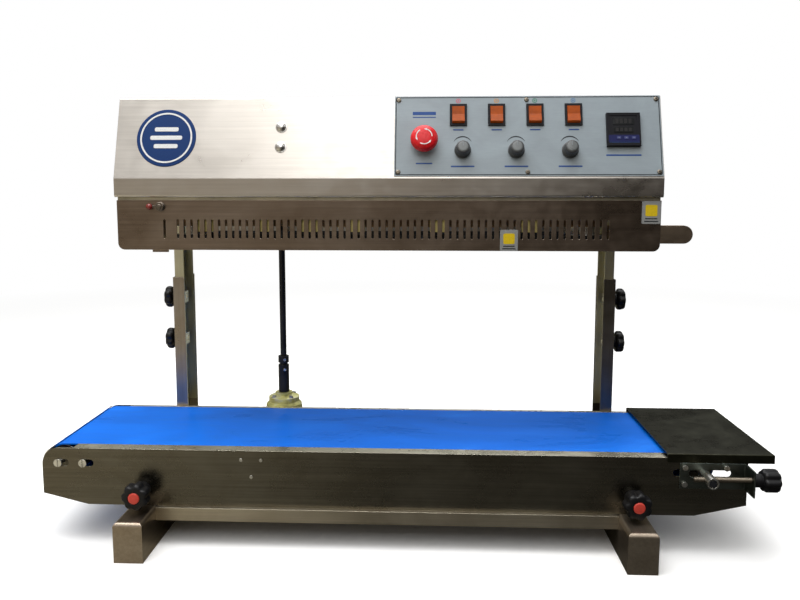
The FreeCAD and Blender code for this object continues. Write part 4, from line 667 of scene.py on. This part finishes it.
def stop_button():
    """The mushroom head with its collar, and the three turning arrows on its crown."""
    matrix = slope_seat(middle("estop_button").x, STOP_ROW)
    lift, top, radius = 12, 25, 20
    head = [(0, -12), (7.8, -12), (7.8, lift - 1), (12, lift - 1), (13, lift), (radius - 1.5, lift),
            (radius, lift + 1.8), (radius - 0.3, lift + 5), (radius - 2.6, top - 3.4),
            (radius - 7, top - 1.2), (6, top - 0.2), (0, top)]
    made = Shells().lathe(matrix, rounded(head, 2), 64)
    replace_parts(made.piece("stop_head", STOP_RED, "estop_button", "stop_red"), "estop_button")
    arrows = Shells()
    height = (top - 1.15, top - 0.72)
    sweep = 1.25
    for index in range(3):
        start = 2 * math.pi * index / 3
        inner, outer = (ring_of(reach, 12, (0, 0), start, sweep) for reach in (10.6, 12.0))
        arrows.strip(matrix, inner, outer, *height)
        tip = start + sweep
        points = [(reach * math.cos(angle), reach * math.sin(angle))
                  for reach, angle in ((9.6, tip), (13, tip), (11.3, tip + 0.36))]
        arrows.prism(matrix, points, *height)
    arrows.piece("stop_arrows", INK_WHITE, "estop_button", "panel_face")


def dial(name):
    """A knurled skirt, a domed metal cap and its pointer line."""
    matrix = seat(joint_spot(name + "_turn") - OUTWARD * DIAL_LIFT * MM, OUTWARD, UPWARD)
    start, top, radius = 1.8, 20, 12
    flutes = 24
    profile = rounded([(0, -12), (3, -12), (3, start), (radius, start), (radius, start + 3.2),
                       (radius - 1.3, start + 3.6), (radius - 2.2, top - 1.5), (radius - 3.4, top - 0.4),
                       (0, top - 0.4)], 0.9, 3)

    def knurled(reach, height, angle):
        fluted = height > start + 4 and reach > radius * 0.6
        return reach - (0.45 * (0.5 + 0.5 * math.cos(flutes * angle)) if fluted else 0.0)

    skirt = Shells().loft(matrix, shaped(profile, flutes * 6, knurled))
    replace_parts(skirt.piece(name + "_skirt", DIAL_SKIRT, name, "dial_grey", 50), name)
    cap = [(0, top - 1), (7.2, top - 1), (7.2, top), (6.4, top + 0.35), (0, top + 0.55)]
    Shells().lathe(matrix, rounded(cap, 0.4)).piece(name + "_cap", DIAL_CAP, name, "dial_grey")
    line = Shells().prism(matrix, rectangle(1.1, 6.8, 0.4, (0, 4.2)), top, top + 0.75, 0.15)
    line.piece(name + "_pointer", INK_GREY, name, "dial_grey")


def pan_screw(shells, recess, matrix, radius, base, height):
    """A pan head, and its cross recess in a darker piece."""
    head = [(0, base), (radius, base), (radius, base + height * 0.55),
            (radius * 0.72, base + height * 0.95), (0, base + height)]
    shells.lathe(matrix, rounded(head, radius * 0.25), 24)
    reach = radius * 0.42
    for width, tall in ((reach * 2, reach * 0.5), (reach * 0.5, reach * 2)):
        recess.prism(matrix, rectangle(width, tall, reach * 0.1), base + height * 0.6, base + height + 0.04)


def head_fasteners():
    """The panel's six pan heads and the two dome bolts on the slope."""
    screws, recess, bolts = Shells(), Shells(), Shells()
    inset = 6 * MM
    for x in (low("control_panel").x + inset, middle("control_panel").x, high("control_panel").x - inset):
        for along in SCREW_ROWS:
            pan_screw(screws, recess, slope_seat(x, along), 3.4, PANEL_WALL, 1.8)
    screws.piece("panel_screws", SCREW, "head", "bright_steel")
    for along in BOLT_ROWS:
        matrix = slope_seat(low("head_screws").x + 8.5 * MM, along)
        bolts.lathe(matrix, rounded([(0, 0), (8.5, 0), (8.5, 1.2), (0, 1.2)], 0.4), 40)
        dome = [(0, 1), (7.5, 1), (7.3, 2.6), (5.6, 4.9), (2.8, 6), (0, 6.2)]
        bolts.lathe(matrix, rounded(dome, 1.4), 40)
    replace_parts(bolts.piece("head_bolts", BRIGHT, "head", "bright_steel"), "head_screws")
    recess.piece("panel_screw_recesses", INK_DARK, "head", "black_case")


def rocker_centres():
    return [middle(f"rocker_{index}").x for index in range(1, 5)]


def dial_centres():
    return [joint_spot(name + "_turn").x for name in DIALS]


def panel_print():
    """The printed border, plain bars where captions would be, dial scales and the switches' marks."""
    width = (high("control_panel").x - low("control_panel").x) / MM
    border = Shells().strip(slope_seat(middle("control_panel").x, PANEL_ROW),
                            rectangle(width - 5.2, 116.8, 2.4), rectangle(width - 3, 119, 3), *PRINT, True)
    border.piece("panel_border", INK_DARK, "head", "panel_face")
    stop_x = middle("estop_button").x
    rows = [(x, 73, 15, 2.0, 0.6) for x in rocker_centres()]
    rows += [(x, 17.5, 34, 2.3, 0.7) for x in dial_centres()]
    rows += [(middle("temperature_controller").x, 34, 50, 2.4, 0.7), (stop_x, 22, 24, 2.2, 0.7),
             (stop_x, 98.5, 34, 5, 0.7), (stop_x, 92.5, 34, 1.6, 0.7)]
    bars = Shells()
    for x, along, reach, tall, corner in rows:
        bars.prism(slope_seat(x, along), rectangle(reach, tall, corner), *PRINT)
    bars.piece("panel_bars", INK_BLUE, "head", "panel_face")
    scales = Shells()
    steps = 28
    start, sweep = math.radians(29), math.radians(122)
    for x in dial_centres():
        inner, outer = [], []
        for step in range(steps + 1):
            angle = start + sweep * step / steps
            half = 0.15 + 0.75 * math.sin(math.pi * step / steps)
            for line, reach in ((inner, 14.6 - half), (outer, 14.6 + half)):
                line.append((reach * math.cos(angle), reach * math.sin(angle)))
        scales.strip(slope_seat(x, DIAL_ROW + 6.5), inner, outer, *PRINT)
    scales.piece("dial_arcs", INK_DARK, "head", "panel_face")
    for index, (x, look) in enumerate(zip(rocker_centres(), (INK_RED, INK_AMBER, INK_GREEN, INK_CYAN))):
        plane = slope_seat(x, SWITCH_MARK_ROW)
        mark = Shells().strip(plane, ring_of(2.5, 28), ring_of(3.4, 28), *PRINT, True)
        mark.prism(plane, ring_of(1.2, 6 - index % 3, (0, 0), math.pi / 2), *PRINT)
        mark.piece(f"switch_mark_{index + 1}", look, "head", "panel_face")


def controller_face():
    """The controller's two display windows with plain dashes, its blue key band and the keys' marks."""
    centre_x = middle("temperature_controller").x
    face = PANEL_WALL + 6
    sunk = face - 0.8
    windows, dashes = Shells(), Shells()
    for along, reach, tall, dash in zip(DISPLAY_ROWS, (31, 28), (11, 8.6), (7, 5)):
        windows.prism(slope_seat(centre_x, along), rectangle(reach, tall, 1), sunk, sunk + 0.5, 0.2)
        for index in range(4):
            plane = slope_seat(centre_x + (index - 1.5) * 6.2 * MM, along)
            dashes.prism(plane, rectangle(4.2, dash, 0.6), sunk + 0.45, sunk + 0.55)
    windows.piece("display_windows", DISPLAY, "head", "black_case")
    dashes.piece("display_segments", SEGMENT, "head", "black_case")
    field = Shells().prism(slope_seat(centre_x, 57.2), rectangle(43.4, 10.4, 1.2), sunk + 0.2, face + 0.1)
    field.piece("controller_field", DISPLAY_BLUE, "head", "black_case")
    line = Shells().prism(slope_seat(centre_x, 51.3), rectangle(43, 0.6, 0.2), sunk + 0.3, face + 0.2)
    line.piece("controller_line", INK_BLUE, "head", "black_case")
    rim = Shells().strip(slope_seat(centre_x, METER_ROW), rectangle(45.0, 47.0, 2),
                         rectangle(46.6, 48.6, 2.2), face, face + 0.3, True)
    rim.piece("controller_rim", CASE, "head", "black_case")
    top = face + 0.8
    for key in ("set_key", "down_key", "up_key"):
        mark = Shells().prism(slope_seat(middle(key).x, KEY_ROW), ring_of(1.1, 3, (0, 0), math.pi / 2), top,
                              top + 0.08)
        mark.piece(key + "_mark", INK_GREY, key, "key_grey")


def badge():
    """The round enamel badge on the slope, with a plain ring and three level strokes."""
    radius = 44.5
    matrix = slope_seat(low("housing").x + 75.3 * MM, BADGE_ROW)
    disc = [(0, 0), (radius, 0), (radius, 0.5), (radius - 0.8, 0.95), (radius * 0.6, 1.35), (0, 1.5)]
    Shells().lathe(matrix, rounded(disc, 0.5), 96).piece("badge_disc", ENAMEL, "head", "belt_blue")
    mark = Shells().strip(matrix, ring_of(36.5, 72), ring_of(39, 72), 0.7, 1.42, True)
    for index, reach in enumerate((36, 48, 36)):
        mark.prism(matrix, rectangle(reach, 6.5, 3, (0, (index - 1) * 13), 6), 1.1, 1.62, 0.15)
    mark.piece("badge_mark", INK_WHITE, "head", "panel_face")


# ---------------------------------------------------------------- guard, head and its inside

def guard_labels():
    """Two plain labels: a yellow patch on a pale field, with two bars below it."""
    face = joint_spot("guard_swing").y - 8.2 * MM
    right, bottom, top = high("guard").x, low("guard").z, high("guard").z
    places = ((right - 217 * MM, bottom + 19 * MM, 26, 31), (right - 14 * MM, top - 17 * MM, 27, 33))
    for number, (x, z, width, height) in enumerate(places, 1):
        matrix = seat((x, face, z), -Y_AXIS, Z_AXIS)
        field = Shells().prism(matrix, rectangle(width, height, 2), 0, 0.22, 0.08)
        field.piece(f"label_{number}_field", LABEL_FIELD, "guard", "panel_face")
        outline = rectangle(width * 0.64, height * 0.50, 2.4, (0, height * 0.08))
        patch = Shells().prism(matrix, outline, 0.2, 0.30, 0.05)
        patch.piece(f"label_{number}_patch", LABEL_YELLOW, "guard", "panel_face")
        lines = Shells()
        for drop, reach in ((0.27, 0.64), (0.39, 0.74)):
            lines.prism(matrix, rectangle(width * reach, 1.5, 0.5, (0, -height * drop)), 0.2, 0.32)
        lines.piece(f"label_{number}_lines", INK_DARK, "guard", "panel_face")


def latch_ball():
    """The dark red ball that the catch is turned by, and the collar round its stud."""
    corner, pivot = low("guard_latch"), joint_spot("guard_latch_turn")
    radius = 4.7
    inset = 4.5 * MM
    matrix = seat((corner.x + inset, corner.y + inset, pivot.z), -Y_AXIS, Z_AXIS)
    angles = [math.pi * step / 20 for step in range(21)]
    arc = [(radius * math.sin(angle), -radius * math.cos(angle)) for angle in angles]
    Shells().lathe(matrix, arc, 40).piece("latch_ball", BALL_RED, "guard_latch", "stop_red")
    profile = [(0, 0.4), (7.2, 0.4), (7.2, 1.6), (5.4, 2.4), (3.6, 7.6), (0, 8)]
    collar = Shells().lathe(seat(pivot, -Y_AXIS, Z_AXIS), rounded(profile, 0.7))
    collar.piece("latch_collar", LATCH, "guard_latch", "latch_metal")


def grip_belts():
    """The two ribbed rubber belts that carry the bag's mouth, round the lower rims of the wheels."""
    inner, thick, rib, tall = 24.9 * MM, 1.5 * MM, 0.8 * MM, 11 * MM
    outline = ((inner, -tall / 2), (inner + thick, -tall / 2), (inner + thick + rib, -tall / 4),
               (inner + thick, 0), (inner + thick + rib, tall / 4), (inner + thick, tall / 2),
               (inner, tall / 2))
    middle_z = low("front_drive_wheel").z + 11 * MM
    half_turn = 24
    for label in ("front", "rear"):
        rings = []
        for joint, start in ((f"{label}_drive_spin", math.pi / 2), (f"{label}_driven_spin", -math.pi / 2)):
            wheel = joint_spot(joint)
            for step in range(half_turn + 1):
                angle = start + math.pi * step / half_turn
                rings.append([(wheel.x + reach * math.cos(angle), wheel.y + reach * math.sin(angle),
                               middle_z + lift) for reach, lift in outline])
        rings.append(rings[0])
        belt = Shells().loft(Matrix.Identity(4), rings, False)
        belt.piece(f"{label}_grip_belt", GRIP, "head", "roller_rubber")


def cover_screws():
    """Pan heads round the rear cover and on the head's two ends."""
    cover_low, cover_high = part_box("rear_cover")
    house_low, house_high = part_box("housing")
    inset = 8 * MM
    places = []
    for share in (0, 0.25, 0.5, 0.75, 1):
        x = cover_low.x + inset + (cover_high.x - cover_low.x - 2 * inset) * share
        places += [((x, cover_high.y, z), Y_AXIS) for z in (house_low.z + inset, cover_high.z - inset)]
    for side, x in ((-1, house_low.x), (1, house_high.x)):
        for share in (0.35, 0.85):
            y = house_low.y + (house_high.y - house_low.y) * share
            places.append(((x, y, house_low.z + 9 * MM), X_AXIS * side))
    screws, recess = Shells(), Shells()
    for spot, axis in places:
        pan_screw(screws, recess, seat(spot, axis, Z_AXIS), 3.2, 0, 1.7)
    screws.piece("cover_screws", BRIGHT, "head", "bright_steel")
    recess.piece("cover_screw_recesses", INK_DARK, "head", "black_case")


def skirt_returns():
    """The folded ends of the rear cover's skirt, which close the head's back corners below the housing."""
    wall, reach = 1.2, 56
    cover_low, cover_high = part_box("rear_cover")
    tall = (low("housing").z - cover_low.z) / MM - 4
    y = cover_high.y - (4 + reach / 2) * MM
    z = low("housing").z - (1 + tall / 2) * MM
    for label, x in (("left", cover_low.x + wall * MM), ("right", cover_high.x - 2 * wall * MM)):
        matrix = seat((x, y, z), X_AXIS, Z_AXIS)
        flange = Shells().prism(matrix, rectangle(reach, tall, 6, steps=5), 0, wall, 0.3)
        flange.piece(f"{label}_skirt_return", GUARD_SHEET, "head", "stainless")


def gland_nut():
    """The hexagonal nut and ribbed dome of the cord gland."""
    centre = middle("power_gland")
    matrix = seat((centre.x, low("power_gland").y, centre.z), Y_AXIS, Z_AXIS)
    bore, flange, ribs = 4.6, 5, 16
    nut = Shells().strip(matrix, ring_of(bore, 48), rounded(ring_of(11.6, 6), 1.0, 7, True), 0,
                         flange, True)
    rings = shaped([(9.8, flange), (9.6, 13), (8.0, 17), (5.6, 18)], ribs * 4,
                   lambda radius, height, angle: radius - 0.35 * (1 + math.cos(ribs * angle)) / 2)
    for height in (18, flange):
        rings.append([(*spot, height) for spot in ring_of(bore, ribs * 4)])
    rings.append(rings[0])
    nut.loft(matrix, rings, False)
    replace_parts(nut.piece("gland_body", CASE, "head", "black_knob", 40), "power_gland")


# ---------------------------------------------------------------- base details

def hex_bolt(shells, matrix, across, height):
    """A hexagon head with a chamfered crown on a washer."""
    washer = across * 0.72
    shells.lathe(matrix, rounded([(0, 0), (washer, 0), (washer, 0.8), (0, 0.8)], 0.3), 32)
    shells.prism(matrix, rounded(ring_of(across / math.sqrt(3), 6), 0.3, 2, True), 0.7, height, 0.7)


def gearbox_bolts():
    """Four bolts on the gearbox's shoulder, the casting's ribs, and the coupler's collar screws."""
    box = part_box("gearbox_housing")
    shaft = joint_spot("transmission_spin")
    bolts, ribs, collar = Shells(), Shells(), Shells()
    shoulder = box[1].z - 8 * MM
    circle = 21 * MM
    for index in range(4):
        angle = math.pi / 4 + math.pi / 2 * index
        spot = (shaft.x + circle * math.cos(angle), shaft.y + circle * math.sin(angle), shoulder)
        hex_bolt(bolts, seat(spot, Z_AXIS, Y_AXIS), 7, 4)
    bolts.piece("gearbox_bolts", BRIGHT, "base", "bright_steel")
    foot = seat((shaft.x, shaft.y, box[0].z), Z_AXIS, Y_AXIS)
    for index in range(12):
        turned = foot @ Matrix.Rotation(math.pi / 6 * index, 4, "Z")
        ribs.prism(turned, rectangle(2.2, 3.0, 0.7, (31.4, 0)), 10, 44, 0.6)
    ribs.piece("gearbox_ribs", CAST, "base", "cast_zinc")
    outline = rounded([(0, 0), (2.6, 0), (2.6, 2.2), (1.4, 2.2), (1.3, 1.2), (0, 1.2)], 0.3)
    for drop in (6 * MM, 24 * MM):
        for turn in (0, math.pi):
            axis = Vector((math.cos(turn - 1.2), math.sin(turn - 1.2), 0))
            spot = Vector((shaft.x, shaft.y, high("shaft_coupler").z - drop)) + axis * 9 * MM
            collar.lathe(seat(spot, axis, Z_AXIS), outline, 24)
    collar.piece("coupler_screws", BRIGHT, "transmission", "bright_steel")


def foot_pads():
    """Rubber strips in the hollow of each foot, level with its lower edge."""
    for label in ("left_foot", "right_foot"):
        pads = Shells()
        for y in (low(label).y + 22 * MM, high(label).y - 22 * MM):
            matrix = seat((middle(label).x, y, low(label).z), Z_AXIS, Y_AXIS)
            pads.prism(matrix, rectangle(30, 26, 4), 0.05, 9, 1)
        pads.piece(label + "_pads", GRIP, "base", "roller_rubber")


def beam_bolts():
    """The bolts that hold the cross beam to the conveyor, on its underside."""
    beam_low, beam_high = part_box("cross_beam")
    bolts = Shells()
    for x_share in (0.08, 0.36, 0.64, 0.92):
        for y_share in (0.2, 0.8):
            spot = (beam_low.x + (beam_high.x - beam_low.x) * x_share,
                    beam_low.y + (beam_high.y - beam_low.y) * y_share, beam_high.z - 3 * MM)
            hex_bolt(bolts, seat(spot, -Z_AXIS, Y_AXIS), 8, 5)
    bolts.piece("beam_bolts", BRIGHT, "base", "bright_steel")


def axle_bore():
    """The dark open end of the take-up tube, inside its bright rim."""
    spot = joint_spot("take_up_roller_spin")
    matrix = seat((spot.x, low("take_up_axle").y, spot.z), -Y_AXIS, Z_AXIS)
    plug = Shells().lathe(matrix, [(0, -1), (5, -1), (5, 0.15), (0, 0.15)], 40)
    plug.piece("axle_bore", INK_DARK, "take_up", "black_case")


# ---------------------------------------------------------------- stage, light and camera

def floor():
    """A pale plain floor to the camera, which fades into the backdrop far away. To all other rays it is
    painted shade for the metal to reflect: light towards -X, near black towards +X, and lighter again
    behind the machine.
    """
    reach, grid = 14.0, 8
    row = grid + 1
    verts = [((2 * i / grid - 1) * reach, (2 * j / grid - 1) * reach, 0)
             for j in range(row) for i in range(row)]
    faces = [(j * row + i, j * row + i + 1, (j + 1) * row + i + 1, (j + 1) * row + i)
             for j in range(grid) for i in range(grid)]
    sheet = bpy.data.meshes.new("floor")
    sheet.from_pydata(verts, [], faces)
    surface = Surface("floor_with_painted_shade", roughness=0.7)
    split = surface.add("ShaderNodeSeparateXYZ")
    surface.link(surface.place, "Object", split, "Vector")
    tone = surface.noise((1.5, 1.5, 1.5), 3.0, 0.5)
    # Painted shade: the floor's colour for reflections, darker towards +X so that the metal on the right
    # reflects dark.
    near = surface.ramp(surface.remap((split, "X"), -0.8, 0.6, 0.0, 1.0), (0.0, (0.50, 0.46, 0.35)),
                        (0.55, (0.055, 0.052, 0.040)), (1.0, (0.008, 0.008, 0.006)))
    away = surface.remap((split, "Y"), 0.5, 1.5, 0.0, 1.0)
    surface.finish(surface.mix("MIX", away, near, (0.44, 0.42, 0.27)), surface.vary(tone, 0.6, 0.8))
    pale = surface.add("ShaderNodeBsdfDiffuse")
    pale.inputs["Color"].default_value = (1.05, 1.05, 1.05, 1)
    glow = surface.add("ShaderNodeEmission")
    glow.inputs["Color"].default_value = (1.0, 1.0, 1.0, 1)
    distance = surface.add("ShaderNodeVectorMath", operation="LENGTH")
    surface.link(surface.place, "Object", distance, 0)
    fade = surface.add("ShaderNodeMixShader")
    surface.link(*surface.remap((distance, "Value"), 1.0, 3.2, 0.0, 1.0), fade, 0)
    surface.link(pale, 0, fade, 1)
    surface.link(glow, 0, fade, 2)
    either = surface.add("ShaderNodeMixShader")
    surface.link(surface.add("ShaderNodeLightPath"), "Is Camera Ray", either, 0)
    surface.link(surface.shader, "BSDF", either, 1)
    surface.link(fade, 0, either, 2)
    surface.link(either, 0, surface.output, "Surface")
    sheet.materials.append(surface.material)
    made = bpy.data.objects.new("floor", sheet)
    made.location.z = -0.0003
    bpy.context.scene.collection.objects.link(made)


def sky():
    """White behind the object; for its reflections a room that is warm and bright on the left and above."""
    world = bpy.data.worlds.new("studio")
    bpy.context.scene.world = world
    world.use_nodes = True
    nodes = Nodes(world.node_tree)
    split = nodes.add("ShaderNodeSeparateXYZ")
    nodes.link(nodes.add("ShaderNodeTexCoord"), "Generated", split, 0)

    def swing(axis, *limits):
        return nodes.remap((split, axis), *limits, "SMOOTHSTEP")

    side = swing("X", -0.12, 0.27, 0.44, 0.015)
    front = swing("Y", -0.35, 0.35, 1.0, 0.22)
    amount = nodes.math("ADD", nodes.math("MULTIPLY", side, front), swing("Z", 0.15, 0.80, 0.0, 0.50))
    lower = nodes.mix("MIX", swing("Y", -0.2, 0.2, 0.0, 1.0), (1.0, 0.83, 0.67), (0.93, 1.0, 0.66))
    colour = nodes.mix("MIX", swing("Z", 0.05, 0.50, 0.0, 1.0), lower, (1.0, 0.99, 0.97))
    soft = nodes.add("ShaderNodeBackground")
    nodes.link(*colour, soft, "Color")
    nodes.link(*amount, soft, "Strength")
    pale = nodes.add("ShaderNodeBackground")
    pale.inputs["Color"].default_value = (1.0, 1.0, 1.0, 1)
    mix = nodes.add("ShaderNodeMixShader")
    nodes.link(nodes.add("ShaderNodeLightPath"), "Is Camera Ray", mix, 0)
    nodes.link(soft, 0, mix, 1)
    nodes.link(pale, 0, mix, 2)
    nodes.link(mix, 0, nodes.add("ShaderNodeOutputWorld"), "Surface")


def lamps():
    """A large soft box above the camera, another overhead, and weak ones to the right and behind."""
    for name, spot, target, size, power, colour in (
            ("key", (0.02, -1.95, 2.02), (0.0, -0.1, 0.6), 1.35, 12.0, (1.0, 0.985, 0.965)),
            ("top", (-0.35, -0.15, 2.3), (-0.1, 0, 0.3), 2.0, 58, (1.0, 1.0, 1.0)),
            ("right", (2.3, -0.3, 1.7), (0.3, 0, 0.3), 1.4, 7, (0.96, 0.98, 1.0)),
            ("back", (0.7, 2.0, 2.5), (0, 0, 0.3), 1.6, 22, (1.0, 1.0, 1.0))):
        lamp = bpy.data.lights.new(name, "AREA")
        lamp.shape = "SQUARE"
        lamp.size = size
        lamp.energy = power
        lamp.color = colour
        made = bpy.data.objects.new(name, lamp)
        made.location = spot
        made.rotation_euler = (Vector(target) - Vector(spot)).to_track_quat("-Z", "Y").to_euler()
        bpy.context.scene.collection.objects.link(made)


def camera():
    lens = bpy.data.cameras.new("view")
    lens.lens = 34.05
    lens.sensor_width = 36
    lens.shift_x = 0.0092
    lens.shift_y = -0.0343
    made = bpy.data.objects.new("view", lens)
    made.location = (0.03805, -1.18945, 0.52825)
    made.rotation_euler = (math.radians(83.583), 0, math.radians(2.618))
    bpy.context.scene.collection.objects.link(made)
    bpy.context.scene.camera = made
    bpy.context.scene.view_settings.view_transform = "Standard"


dress_nodes()
knobs()
stop_button()
for dial_name in DIALS:
    dial(dial_name)
head_fasteners()
panel_print()
controller_face()
badge()
guard_labels()
latch_ball()
grip_belts()
cover_screws()
skirt_returns()
gland_nut()
gearbox_bolts()
foot_pads()
beam_bolts()
axle_bore()
floor()
sky()
lamps()
camera()
